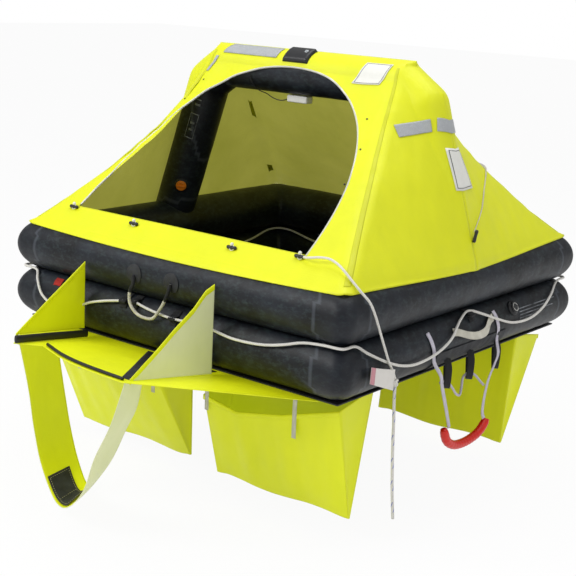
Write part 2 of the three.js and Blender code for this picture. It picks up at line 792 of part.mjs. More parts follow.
// Beckets glued on the lower tube, one at each place where a line is held
const becketWidth = 36;
const becketHeight = 24;
const outerBeckets = [[0, -150, 188], [0, 60, 168], [0, 722, 200], [0, -722, 198], [0, -205, 182],
  [1, -728, 198], [1, 0, 196], [1, 728, 198], [2, -728, 198], [2, 0, 196], [2, 728, 198],
  [3, -728, 198], [3, 0, 196], [3, 728, 198]];
const innerBeckets = [[0, -600, 198], [0, 0, 198], [0, 600, 198], [1, -600, 198], [1, 0, 198],
  [2, 0, 198], [2, -600, 198], [3, -600, 198], [3, 0, 198]];
let becketed = toSolid(lowerTube);
for (const [list, outward, line] of [[outerBeckets, 1, lifelineGrown], [innerBeckets, -1, innerGrown]]) {
  for (const [side, along, z] of list) {
    const inner = tubeHalf + outward * (besideTubes(z, tubeRadius) - 8);
    const outer = tubeHalf + outward * (besideTubes(z, lineReach) + 2);
    const block = new THREE.BoxGeometry(becketWidth, Math.abs(outer - inner), becketHeight);
    block.translate(along, -(inner + outer) / 2, z);
    block.rotateZ((side * Math.PI) / 2);
    const becket = mainBody(toSolid(block).subtract(line).subtract(upperTubeGrown));
    becketed = becketed.add(becket);
  }
}
add('lower_tube', toGeometry(mainBody(becketed)), looks.tube);
add('upper_tube', upperTube, looks.tube);

// Hand line from the sill over the tubes to the painter, and the painter hanging from their knot

const handRoute = [
  [540, -708, 465],
  [549, -709, 466],
  [560, -712, 467],
  [590, -720, 473],
  [622, -716, 479],
  [660, -712, 480],
  [704, -720, 470],
  [742, -730, 452],
  [774, -732, 428],
  [808, -728, 398],
  [842, -716, 362],
  [856, -702, 320],
  [859, -684, 282],
  [860, -658, 232],
  [860, -632, 185],
  [860, -605, 138],
  [858, -574, 98],
  [858, -556, 68],
];
const knot = new THREE.SphereGeometry(14, 14, 10);
knot.scale(0.9, 1, 1.05);
const handLine = toSolid(cord(handRoute, handLineDiameter, 36))
  .add(toSolid(placed(knot, 858, -554, 53)))
  .subtract(toggleSolid(togglePlaces[3], seatGap))
  .subtract(frontSeat);
add('hand_line', toGeometry(mainBody(handLine)), looks.rope);
const painterRoute = [
  [858, -553, 38],
  [859, -555, 10],
  [860, -554, -30],
  [860, -550, -70],
  [860, -547, -110],
  [860, -545, -150],
  [860, -542, -190],
  [860, -539, -230],
  [860, -535, -270],
  [860, -530, -320],
  [860, -524, -370],
  [860, -516, -420],
  [860, -508, -470],
];
add('painter_line', cord(painterRoute, painterDiameter, 26), looks.rope);

const tagGrid = [];
for (let i = 0; i <= 4; i += 1) {
  const share = i / 4;
  const bow = 6 * Math.sin(share * Math.PI);
  tagGrid.push([
    [860 + bow, mix(-715, -570, share), mix(84, 28, share)],
    [862 + bow, mix(-712, -566, share), mix(142, 104, share)],
  ]);
}
const handLineCut = toSolid(cord(handRoute, handLineDiameter + 2, 36));
const tagCut = handLineCut.add(bothTubesGrown);
const tagSolid = mainBody(toSolid(sheet(tagGrid, -0.8, 0.8)).subtract(tagCut));
add('painter_tag', toGeometry(tagSolid), looks.white);

// Grab handles

const handleSeat = tubeRadius + 2 * seatGap + 1.6 + handleWidth / 2;
const handleEndY = -(tubeHalf + Math.sqrt(handleSeat ** 2 - (upperZ - 292) ** 2));
const handleRoute = [
  [-139, handleEndY + 6, 296],
  [-134, handleEndY - 1, 266],
  [-149, -851, 230],
  [-144, -852, 187],
  [-114, -852, 158],
  [-70, -853, 148],
  [-26, -852, 154],
  [8, -851, 194],
  [30, -850, 230],
  [46, handleEndY - 1, 266],
  [50, handleEndY + 6, 296],
];
const handlePadGrown = toSolid(ringTube(upperZ, 2 * seatGap + 1.6, -1));
const frontHandle = toSolid(cord(handleRoute, handleWidth, 28)).subtract(handlePadGrown);
add('front_handle', toGeometry(mainBody(frontHandle)), looks.webbing);

function handleOut(height, lift) {
  return tubeHalf + besideTubes(height, tubeRadius + seatGap + clothThickness / 2 + lift);
}

const sideHandleRoute = [
  [handleOut(150, 0), -142, 150],
  [handleOut(146, 0), -116, 146],
  [handleOut(128, 18), -60, 128],
  [handleOut(119, 22), 0, 119],
  [handleOut(124, 18), 60, 124],
  [handleOut(150, 2), 122, 150],
  [handleOut(156, 0), 150, 156],
];
const sideHandle = strap(sideHandleRoute, [-0.4, 0, 0.92], sideHandleWidth, clothThickness, 20);
add('side_handle', toGeometry(toSolid(sideHandle).subtract(lowerTubeGrown)), looks.webbing);

// Boarding ladder: two webbings, a padded step and a rung through loops under a cloth sleeve

const sleeveHalf = 255;
const sleeveOutline = [[748, -1], [900, -1], [900, 92], [748, 92]];
const sleeveCutter = toSolid(prism(sleeveOutline, [0, 2], -sleeveHalf, sleeveHalf));
const sleeveGrown = toSolid(ringTube(lowerZ, seatGap + padThickness, 1));
const floorGap = 2 * seatGap;
const floorGrown = new THREE.BoxGeometry(
  floorHalf * 2 + floorGap,
  floorHalf * 2 + floorGap,
  floorThickness + floorGap,
);
const sleeveOpen = lowerTubeGrown.add(toSolid(placed(floorGrown, 0, 0, floorThickness / 2)));
let sleeve = sleeveGrown.intersect(sleeveCutter).subtract(sleeveOpen);

const hangX = 860;
const stepRoute = [
  [hangX, -195, -222],
  [hangX, -172, -262],
  [hangX, -125, -290],
  [hangX, -63, -301],
  [hangX, 10, -299],
  [hangX, 72, -284],
  [hangX, 112, -255],
];
const stepGeometry = cord(stepRoute, stepDiameter, 18, 12);
add('ladder_step', stepGeometry, looks.red);
const stepGrown = toSolid(cord(stepRoute, stepDiameter + 2 * seatGap, 18, 12));

const strapLift = 1.2;
const ladderRoutes = {
  left: [[176, -306, 0], [150, -300, 0], [110, -286, 0], [60, -268, 6], [10, -252, 16],
    [-30, -239, 22], [-130, -196, 22], [-215, -160, 22], [-262, -146, 22]]
    .map(([z, y, off]) => [z > 20 ? handleOut(z, strapLift) + off : hangX, y, z]),
  right: [[176, 166, 0], [150, 174, 0], [110, 184, 0], [60, 190, 6], [10, 168, 16],
    [-30, 146, 22], [-80, 110, 22], [-160, 86, 22], [-225, 70, 22], [-262, 66, 22]]
    .map(([z, y, off]) => [z > 20 ? handleOut(z, strapLift) + off : hangX, y, z]),
};
for (const [side, route] of Object.entries(ladderRoutes)) {
  const webbing = toSolid(strap(route, [0, 1, 0.2], ladderWidth, clothThickness, 22));
  const cut = stepGrown.add(lowerTubeGrown).add(sleeveGrown.intersect(sleeveCutter));
  add(`ladder_webbing_${side}`, toGeometry(mainBody(webbing.subtract(cut))), looks.webbing);
}

const rungRoute = [
  [784, -130, -62],
  [800, -105, -58],
  [812, -82, -84],
  [812, -50, -116],
  [808, -14, -130],
  [796, 16, -112],
  [788, 40, -72],
  [800, 60, -58],
  [814, 80, -68],
  [828, 96, -90],
  [842, 98, -104],
];
add('ladder_rung', cord(rungRoute, 8, 28), looks.webbing);
const loopWidth = 26;
for (const y of [-155, 10, 212]) {
  const route = [
    [826, y - 6, 52],
    [832, y, 20],
    [824, y + 16, -30],
    [808, y + 38, -74],
    [800, y + 50, -83],
    [792, y + 62, -74],
    [776, y + 84, -30],
    [766, y + 98, 2],
  ];
  const loop = toSolid(strap(route, [0.83, 0.56, 0], loopWidth, clothThickness, 16));
  sleeve = sleeve.add(loop.subtract(sleeveOpen));
}
add('ladder_sleeve', toGeometry(mainBody(sleeve)), looks.black);

// Gas bottle under the floor with two straps, a valve head and a hose to the lower tube

const bottleRadius = bottleDiameter / 2;
const bottleZ = -(2 * seatGap + padThickness + bottleRadius);
const bottleHalf = bottleLength / 2;
const bottleProfile = [[0, -bottleHalf], [32, -bottleHalf + 8], [50, -bottleHalf + 28],
  [bottleRadius, -bottleHalf + 50], [bottleRadius, bottleHalf - 62], [46, bottleHalf - 32],
  [24, bottleHalf - 12], [17, bottleHalf], [0, bottleHalf]];
const bottleShape = bottleProfile.map((p) => new THREE.Vector2(...p));
const bottle = new THREE.LatheGeometry(bottleShape, 20);
add('gas_bottle', placed(bottle, bottleX, 0, bottleZ), looks.steel);
for (const [name, y] of [['front', -95], ['rear', 95]]) {
  const band = [[bottleRadius + seatGap, -14], [bottleRadius + seatGap + padThickness, -14],
    [bottleRadius + seatGap + padThickness, 14], [bottleRadius + seatGap, 14],
    [bottleRadius + seatGap, -14]];
  const ring = new THREE.LatheGeometry(band.map((p) => new THREE.Vector2(...p)), 20);
  add(`bottle_strap_${name}`, placed(ring, bottleX, y, bottleZ), looks.black);
}
const head = new THREE.CylinderGeometry(17, 17, 42, 16);
const headTop = new THREE.CylinderGeometry(20, 20, 16, 16);
const outlet = new THREE.CylinderGeometry(8, 8, 40, 12);
const headSolid = toSolid(placed(head, bottleX, bottleHalf + seatGap + 21, bottleZ))
  .add(toSolid(placed(headTop, bottleX, bottleHalf + seatGap + 49, bottleZ)))
  .add(toSolid(placed(outlet.rotateZ(Math.PI / 2), bottleX - 22, bottleHalf + 26, bottleZ)));
add('bottle_valve', toGeometry(headSolid), looks.steel);
const hoseRoute = [
  [bottleX - 42.4, bottleHalf + 26, bottleZ],
  [bottleX - 64, bottleHalf + 26, bottleZ],
  [280, 218, -54],
  [190, 268, -44],
  [110, 360, -30],
  [66, 480, -20],
  [58, 620, -16],
  [58, 740, -16],
  [58, 800, -20],
  [58, 829, -8],
  [58, 820, 6],
  [58, 801, 26.6],
];
add('gas_hose', cord(hoseRoute, 12, 36), looks.black);

// Boarding ramp: a cloth floor out from under the front tube, two side flaps and two battens

const rampFoldY = rampRootY - 20;
function rampTop(y) {
  return -seatGap + rampSlope * Math.max(rampFoldY - y, 0) * 1.15;
}

function onRamp(geometry) {
  const position = geometry.attributes.position;
  for (let i = 0; i < position.count; i += 1) {
    position.setZ(i, position.getZ(i) + rampTop(position.getY(i)));
  }
  return geometry;
}

const rampOutline = [[-770, rampFoldY], [-408, rampTipY], [-330, -1112], [-180, -1172],
  [-56, -1204], [70, -1218], [200, -1225], [700, rampFoldY]];
const rampRoot = [[-770, rampFoldY], [700, rampFoldY], [700, rampRootY + 25],
  [-770, rampRootY + 25]];
const rampCloth = toSolid(onRamp(prism(rampOutline, [0, 1], -clothThickness, 0)))
  .add(toSolid(prism(rampRoot, [0, 1], -clothThickness - seatGap, -seatGap)));
add('ramp_floor', toGeometry(rampCloth), looks.canopy);

const flapFoot = (y, lift) => rampTop(y) + lift;
const leftBatten = prism([[-408, rampTipY + 2], [-392, rampTipY + 2], [-368, -850], [-380, -850]],
  [0, 1], seatGap, seatGap + battenHeight);
add('ramp_left_batten', onRamp(leftBatten), looks.black);
const leftFlapOutline = [[-843, 300], [-843, flapFoot(-843, battenHeight + 2 * seatGap)],
  [rampTipY + 6, flapFoot(rampTipY + 6, battenHeight + 2 * seatGap)]];
const leftFlap = prism(leftFlapOutline, [1, 2], rampLeftX, rampLeftX + clothThickness);
const rightFlapOutline = [[-843, 336], [-843, flapFoot(-843, seatGap)],
  [rampTipY - 11, flapFoot(rampTipY - 11, seatGap)], [-1100, 118], [-1010, 196], [-930, 262], [-880, 318]];
const rightFlap = prism(rightFlapOutline, [1, 2], rampRightX, rampRightX + clothThickness);
function leaned(geometry, footX, lean) {
  const position = geometry.attributes.position;
  for (let i = 0; i < position.count; i += 1) {
    const out = (position.getY(i) + 843) / (rampTipY + 843);
    position.setX(i, position.getX(i) + (footX - rampLeftX) * out * lean);
  }
  return geometry;
}
const flapSlot = toSolid(cord(outerRoute, lifelineDiameter + 3, 96));
const leftFlapSolid = toSolid(leaned(leftFlap, rampLeftX - 24, 0.3)).subtract(flapSlot);
const rightFlapSolid = toSolid(leaned(rightFlap, rampLeftX - 60, 1)).subtract(flapSlot);
add('ramp_left_flap', toGeometry(mainBody(leftFlapSolid)), looks.canopy);
add('ramp_right_flap', toGeometry(mainBody(rightFlapSolid)), looks.pale);
const frontBattenRoute = [[-318, -1100], [-180, -1156], [-56, -1186], [70, -1200], [186, -1206]]
  .map(([x, y]) => [x, y, rampTop(y) + frontBattenDiameter / 2 + 0.6]);
add('ramp_front_batten', cord(frontBattenRoute, frontBattenDiameter, 20), looks.black);
const rampPanel = prism([[196, -1190], [-50, -800], [252, -800]], [0, 1], seatGap, 1.5);
const rampPanelCut = toSolid(cord(frontBattenRoute, frontBattenDiameter + 1, 20))
  .add(toSolid(rightFlap));
add('ramp_panel', toGeometry(mainBody(toSolid(onRamp(rampPanel)).subtract(rampPanelCut))),
  looks.black);

// Stirrup: a wide band hanging in a loop from the ramp's front corners, with a tread inside it

const stirrupOuter = [[-398, -1172, 60], [-385, -1130, -160], [-370, -1120, -300],
  [-330, -1120, -430], [-220, -1150, -530], [-60, -1220, -490], [50, -1250, -380],
  [100, -1250, -250], [160, -1235, -115], [198, -1200, 60]];
const stirrupInner = [[-396, -990, 50], [-385, -950, -220], [-365, -940, -340],
  [-310, -950, -455], [-200, -1000, -510], [-80, -1060, -430], [28, -1100, -320],
  [110, -1110, -175], [160, -1110, -80], [190, -1110, 60]];
function bandGrid(lower, upper, from, to, columns, rows) {
  const outer = curveThrough(lower);
  const inner = curveThrough(upper);
  const grid = [];
  for (let i = 0; i <= rows; i += 1) {
    const share = mix(from[0], to[0], i / rows);
    const a = outer.getPointAt(share);
    const b = inner.getPointAt(share);
    const row = [];
    for (let j = 0; j <= columns; j += 1) {
      row.push(a.clone().lerp(b, mix(from[1], to[1], j / columns)).toArray());
    }
    grid.push(row);
  }
  return grid;
}
const rampAbove = toSolid(onRamp(prism(rampOutline, [0, 1], -clothThickness - seatGap, 200)))
  .add(toSolid(prism(rampRoot, [0, 1], -clothThickness - 2 * seatGap, 60)));
const stirrupGrid = bandGrid(stirrupOuter, stirrupInner, [0, 0], [1, 1], 4, 28);
const stirrup = toSolid(sheet(stirrupGrid, -clothThickness / 2, clothThickness / 2));
add('stirrup_strap', toGeometry(mainBody(stirrup.subtract(rampAbove))), looks.canopy);
const treadGrid = bandGrid(stirrupOuter, stirrupInner, [0.38, 0.06], [0.55, 0.7], 4, 8);
const treadLow = clothThickness / 2 + seatGap + 0.8;
add('stirrup_tread', sheet(treadGrid, treadLow, treadLow + 2), looks.black);

// Water pockets: open bags hanging from the floor, their mouths outward, each with two tapes

const pocketLips = [[pocketInner, 133], [pocketInner + 167, 161], [pocketInner + 382, 117],
  [pocketInner + pocketLength, 40]];
function pocket(name, signX, signY, bottomY, depth) {
  const wall = clothThickness;
  const innerTop = pocketFrontTopY - pocketMouth;
  const bottomSpan = 10;
  const rim = 40;
  const outerRing = (x, lip) => [
    [x, pocketFrontTopY, -lip],
    [x, innerTop, -seatGap],
    [x, bottomY - bottomSpan / 2, -depth],
    [x, bottomY + bottomSpan / 2, -depth],
  ];
  const slopeFront = (lip) => (pocketFrontTopY - bottomY - bottomSpan / 2) / (depth - lip);
  const slopeBack = (innerTop - bottomY + bottomSpan / 2) / (depth - seatGap);
  const innerRing = (x, lip) => [
    [x, pocketFrontTopY - wall + rim * slopeFront(lip), -lip + rim],
    [x, innerTop + wall + rim * slopeBack, rim],
    [x, bottomY - bottomSpan / 2 + wall, -depth + wall],
    [x, bottomY + bottomSpan / 2 - wall, -depth + wall],
  ];
  const last = pocketLips.length - 1;
  const outer = loft(pocketLips.map(([x, lip]) => outerRing(x, lip)));
  const inner = loft(pocketLips.map(([x, lip], i) => {
    const inset = i === 0 ? wall : i === last ? -wall : 0;
    return innerRing(x + inset, lip);
  }));
  let bag = toSolid(outer).subtract(toSolid(inner));
  for (const x of [pocketInner + 20, pocketInner + 436]) {
    const tape = new THREE.BoxGeometry(18, 2, 190);
    bag = bag.add(toSolid(placed(tape, x, pocketFrontTopY + 0.4, -95 - seatGap)));
  }
  bag = mainBody(bag.scale([signX, signY, 1]));
  add(name, toGeometry(bag), looks.canopy);
}
pocket('water_pocket_front_right', 1, -1, pocketFrontBottomY, pocketDepth);
pocket('water_pocket_front_left', -1, -1, pocketLeftBottomY, pocketDepth + 30);
pocket('water_pocket_back_right', 1, 1, pocketBackBottomY, pocketDepth);
pocket('water_pocket_back_left', -1, 1, pocketBackBottomY, pocketDepth);

// Handle patches on the front of the upper tube and a pull tab beside the ramp

for (const [name, x] of [['left', -139], ['right', 50]]) {
  const disc = new THREE.CylinderGeometry(37, 37, 60, 20);
  const cutter = toSolid(placed(disc, x, -tubeHalf - tubeRadius, upperZ - 2.7));
  const padOuter = toSolid(ringTube(upperZ, seatGap + 1.6, -1)).subtract(bothTubesGrown);
  add(`front_handle_patch_${name}`, toGeometry(mainBody(padOuter.intersect(cutter))), looks.black);
}
const pullTabOutline = [[-600, 166], [-560, 170], [-562, 194], [-602, 190]];
const pullTabLayer = toSolid(ringTube(lowerZ, seatGap + 1.6, 1)).subtract(lowerTubeGrown);
const pullTab = pullTabLayer.intersect(toSolid(prism(pullTabOutline, [0, 2], -900, -700)));
add('pull_tab', toGeometry(mainBody(pullTab.subtract(lifelineGrown))), looks.red);

export default raft;
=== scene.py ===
"""Inflated four person liferaft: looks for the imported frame, in metres."""
import math

import bmesh
import bpy
import numpy as np
from mathutils import Matrix, Vector


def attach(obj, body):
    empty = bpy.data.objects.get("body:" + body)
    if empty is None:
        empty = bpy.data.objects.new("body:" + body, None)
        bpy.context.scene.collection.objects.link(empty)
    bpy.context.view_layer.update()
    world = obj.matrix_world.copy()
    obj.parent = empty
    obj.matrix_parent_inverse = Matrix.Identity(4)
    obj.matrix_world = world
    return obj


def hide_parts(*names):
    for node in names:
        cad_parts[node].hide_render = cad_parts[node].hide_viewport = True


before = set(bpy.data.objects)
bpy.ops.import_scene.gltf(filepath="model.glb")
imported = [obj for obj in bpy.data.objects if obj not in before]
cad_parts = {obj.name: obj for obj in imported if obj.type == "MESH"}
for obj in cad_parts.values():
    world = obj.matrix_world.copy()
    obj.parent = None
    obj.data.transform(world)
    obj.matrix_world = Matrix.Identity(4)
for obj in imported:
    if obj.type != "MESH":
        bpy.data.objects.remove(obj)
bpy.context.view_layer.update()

# Raft sizes
TUBE_HALF = 0.735
TUBE_R = 0.105
LOWER_Z = 0.110
UPPER_Z = 0.3017
JOINT_Z = 0.20585
CORNER_INNER = 0.012
CORNER_SPAN = 0.050
ARCH_R = 0.088
ARCH_TOP = 1.0226
ARCH_LINE = np.array([
    (-0.735, 0.3667), (-0.5437, 0.947), (-0.437, ARCH_TOP),
    (0.437, ARCH_TOP), (0.5437, 0.947), (0.735, 0.3667)])

# Canopy form
EDGE_REACH = TUBE_R + 0.0018
RIDGE_REACH = ARCH_R + 0.0033
END_SHARE = 0.22
TANGENT = math.radians(38)
TANGENT_Z = ARCH_TOP + RIDGE_REACH * math.cos(TANGENT)
EDGE_CORNER, EDGE_FRONT, EDGE_SIDE = 54, 42, 35
HIP_TOP_X, HIP_TOP_Y = 0.470, 0.056
HIP_SAG_X, HIP_SAG_Y = 0.0637, 0.0769
DOOR_CENTRE, DOOR_HALF = -0.033, 0.575
DOOR_SILL, DOOR_TOP, DOOR_ROUND = 0.466, 1.050, 2.25
PIPING_R = 0.004
CANOPY_T = 0.0022


def mix(a, b, t):
    """a where t is 0, b where t is 1, in a straight line between."""
    return a + (b - a) * t


def smooth(low, high, x):
    """0 below low, 1 above high, with a soft S between."""
    t = np.clip((x - low) / (high - low), 0, 1)
    return t * t * (3 - 2 * t)


def unit(v):
    return v / np.maximum(np.linalg.norm(v, axis=-1, keepdims=True), 1e-12)


def ripple(p, size, seed):
    """A smooth unevenness of about -1 to 1: ten sine waves of about one size, in scattered ways."""
    rng = np.random.default_rng(seed)
    pull = rng.uniform(0.6, 1.5, (10, 1)) * 2 * math.pi / size
    ways = unit(rng.normal(size=(10, 3))) * pull
    phases = rng.uniform(0, 2 * math.pi, 10)
    return np.sin(p @ ways.T + phases).sum(-1) / 3.6


def smooth_path(points, count):
    """Evenly spaced points on a centripetal Catmull-Rom curve through the given points."""
    p = np.asarray(points, float)
    p = np.vstack([2 * p[0] - p[1], p, 2 * p[-1] - p[-2]])
    t = np.linspace(0, len(p) - 3, count * 8)
    i = np.minimum(t.astype(int), len(p) - 4)
    w = (t - i)[:, None]
    a, b, c, d = p[i], p[i + 1], p[i + 2], p[i + 3]
    ab, bc, cd = (np.maximum(np.linalg.norm(s - r, axis=1, keepdims=True) ** 0.5, 1e-4)
                  for r, s in ((a, b), (b, c), (c, d)))
    m1 = ((b - a) / ab - (c - a) / (ab + bc) + (c - b) / bc) * bc
    m2 = ((c - b) / bc - (d - b) / (bc + cd) + (d - c) / cd) * bc
    curve = b + m1 * w + (3 * (c - b) - 2 * m1 - m2) * w ** 2 + (2 * (b - c) + m1 + m2) * w ** 3
    run = np.concatenate([[0], np.cumsum(np.linalg.norm(np.diff(curve, axis=0), axis=1))])
    even = np.linspace(0, run[-1], count)
    return np.stack([np.interp(even, run, curve[:, k]) for k in range(3)], 1)


def path_length(path):
    return float(np.linalg.norm(np.diff(path, axis=0), axis=1).sum())


def grid_normals(grid):
    """Unit normals of a grid of points, from the cross product of its two directions."""
    along = np.gradient(grid, axis=0)
    across = np.gradient(grid, axis=1)
    return unit(np.cross(along, across))


# Mesh making

def finished(name, vertices, faces, uv, marks=None):
    """An object from vertices, faces and one UV pair for each face corner."""
    mesh = bpy.data.meshes.new(name)
    mesh.from_pydata(vertices.tolist(), [], faces)
    mesh.uv_layers.new(name="UVMap").data.foreach_set("uv", uv.astype(float).reshape(-1))
    for key, values in (marks or {}).items():
        mesh.attributes.new(key, "FLOAT", "POINT").data.foreach_set("value", values.reshape(-1))
    mesh.polygons.foreach_set("use_smooth", [True] * len(mesh.polygons))
    piece = bpy.data.objects.new(name, mesh)
    bpy.context.collection.objects.link(piece)
    return piece


def quads_of(grid, u, v, ring_rows, ring_cols):
    """Faces and corner UVs of a grid whose rows or columns may close on themselves."""
    rows, cols = grid.shape[:2]
    i, j = np.meshgrid(np.arange(rows - (not ring_rows)), np.arange(cols - (not ring_cols)),
                       indexing="ij")
    i, j = i.ravel(), j.ravel()
    corners = ((i, j), (i + 1, j), (i + 1, j + 1), (i, j + 1))
    faces = np.stack([(a % rows) * cols + b % cols for a, b in corners], 1)
    uv = np.stack([np.stack([u[a], v[b]], 1) for a, b in corners], 1)
    return faces.tolist(), uv.reshape(-1, 2)


def surface(name, grid, u=None, v=None, ring_rows=False, ring_cols=False, caps=False, marks=None):
    """A mesh over a grid of points; caps close the first and last row with a fan."""
    rows, cols = grid.shape[:2]
    u = np.linspace(0, 1, rows + 1) if u is None else np.append(u, u[-1] * 2 - u[-2])
    v = np.linspace(0, 1, cols + 1) if v is None else np.append(v, v[-1] * 2 - v[-2])
    faces, uv = quads_of(grid, u, v, ring_rows, ring_cols)
    vertices = grid.reshape(-1, 3)
    marks = {key: value.reshape(-1) for key, value in (marks or {}).items()}
    if caps:
        a = np.arange(cols)
        b = (a + 1) % cols
        last = (rows - 1) * cols
        count = rows * cols
        faces += np.stack([np.full(cols, count), a, b], 1).tolist()
        faces += np.stack([np.full(cols, count + 1), last + b, last + a], 1).tolist()
        vertices = np.vstack([vertices, grid[0].mean(0), grid[-1].mean(0)])
        uv = np.vstack([uv, np.zeros((cols * 6, 2))])
        marks = {key: np.append(value, [0, 0]) for key, value in marks.items()}
    return finished(name, vertices, faces, uv, marks)


def sewn(name, grids, away_from=None, weld=2e-5):
    """Several grids sewn into one mesh where their edges meet, facing away from a point."""
    vertices, faces, uvs, base = [], [], [], 0
    for grid in grids:
        rows, cols = grid.shape[:2]
        quads, uv = quads_of(grid, np.linspace(0, 1, rows + 1), np.linspace(0, 1, cols + 1),
                             False, False)
        faces += (np.array(quads) + base).tolist()
        vertices.append(grid.reshape(-1, 3))
        uvs.append(uv)
        base += rows * cols
    piece = finished(name, np.vstack(vertices), faces, np.vstack(uvs))
    work = bmesh.new()
    work.from_mesh(piece.data)
    bmesh.ops.remove_doubles(work, verts=work.verts, dist=weld)
    bmesh.ops.dissolve_degenerate(work, edges=work.edges, dist=1e-6)
    bmesh.ops.recalc_face_normals(work, faces=work.faces)
    if away_from is not None:
        faced = sum(f.normal.dot(f.calc_center_median() - Vector(away_from)) * f.calc_area()
                    for f in work.faces)
        if faced < 0:
            bmesh.ops.reverse_faces(work, faces=work.faces)
    work.to_mesh(piece.data)
    work.free()
    return piece


def thick(piece, thickness, offset=-1, other_side=0):
    """Gives a sheet its thickness; offset 1 grows it along its normals, -1 against them."""
    solid = piece.modifiers.new("thickness", "SOLIDIFY")
    solid.thickness = thickness
    solid.offset = offset
    solid.material_offset = other_side
    return piece


def frame_along(path, towards):
    """Two unit directions across a path: one near a given direction and one square to it."""
    tangent = unit(np.gradient(path, axis=0))
    side = unit(np.cross(tangent, np.broadcast_to(towards, tangent.shape)))
    return side, unit(np.cross(side, tangent))


def tube_points(path, radius, sides, towards=(0, 0, 1)):
    """Rings of points round a path."""
    side, lift = frame_along(path, np.asarray(towards, float))
    angle = np.arange(sides) / sides * 2 * math.pi
    radius = np.broadcast_to(np.asarray(radius, float), (len(path),))[:, None, None]
    round_ = side[:, None] * np.cos(angle)[None, :, None] + lift[:, None] * np.sin(angle)[None, :, None]
    return path[:, None] + round_ * radius


def tube(name, path, radius, sides=12, towards=(0, 0, 1), caps=True):
    """A round cord on a path; its UVs are metres along and the share of a turn around."""
    run = np.concatenate([[0], np.cumsum(np.linalg.norm(np.diff(path, axis=0), axis=1))])
    grid = tube_points(path, radius, sides, towards)
    turn = np.arange(sides) / sides
    return surface(name, grid, u=run, v=turn, ring_cols=True, caps=caps)


def strap(name, path, across, width, thickness, columns=5, offset=0.0):
    """A flat webbing on a path, across a given direction; UVs are metres along and across."""
    across = unit(np.asarray(across, float))
    share = np.linspace(-0.5, 0.5, columns)
    grid = path[:, None] + (across * width)[..., None, :] * share[None, :, None]
    run = np.concatenate([[0], np.cumsum(np.linalg.norm(np.diff(path, axis=0), axis=1))])
    piece = surface(name, grid, u=run, v=share * width)
    return thick(piece, thickness, offset)


def lathed(name, profile, place, axis, sides=48):
    """A turned piece: a profile of radius and height carried round an axis at a place."""
    profile = np.asarray(profile, float)
    axis = unit(np.asarray(axis, float))
    helper = np.array([0.0, 0.0, 1.0]) if abs(axis[2]) < 0.9 else np.array([1.0, 0.0, 0.0])
    a = unit(np.cross(helper, axis))
    b = np.cross(axis, a)
    angle = np.arange(sides) / sides * 2 * math.pi
    round_ = np.cos(angle)[:, None] * a + np.sin(angle)[:, None] * b
    grid = profile[:, None, :1] * round_[None] + profile[:, None, 1:] * axis + np.asarray(place)
    return surface(name, grid[:, ::-1], ring_cols=True, caps=True)


def bevelled(piece, width, segments=3):
    edge = piece.modifiers.new("edge", "BEVEL")
    edge.width = width
    edge.segments = segments
    edge.limit_method = "ANGLE"
    return piece


# Materials

class Value:
    """A number socket on which sums can be written."""

    def __init__(self, finish, socket):
        self.finish = finish
        self.socket = socket

    def maths(self, operation, *others, first=None):
        values = [self, *others] if first is None else [first, self]
        return self.finish.number("ShaderNodeMath", {"operation": operation}, dict(enumerate(values)))

    def __add__(self, other):
        return self.maths("ADD", other)

    def __sub__(self, other):
        return self.maths("SUBTRACT", other)

    def __rsub__(self, other):
        return self.maths("SUBTRACT", first=other)

    def __mul__(self, other):
        return self.maths("MULTIPLY", other)

    def __truediv__(self, other):
        return self.maths("DIVIDE", other)

    def __rtruediv__(self, other):
        return self.maths("DIVIDE", first=other)

    def __pow__(self, other):
        return self.maths("POWER", other)

    def __abs__(self):
        return self.maths("ABSOLUTE")

    __radd__ = __add__
    __rmul__ = __mul__

    def sine(self):
        return self.maths("SINE")

    def above(self, level):
        return self.maths("GREATER_THAN", level)

    def below(self, level):
        return self.maths("LESS_THAN", level)

    def part(self):
        return self.maths("FRACT")

    def clear(self, low, high):
        """0 at low, 1 at high, held between."""
        return self.finish.number(
            "ShaderNodeMapRange", {"clamp": True}, {0: self, 1: low, 2: high, 3: 0.0, 4: 1.0})


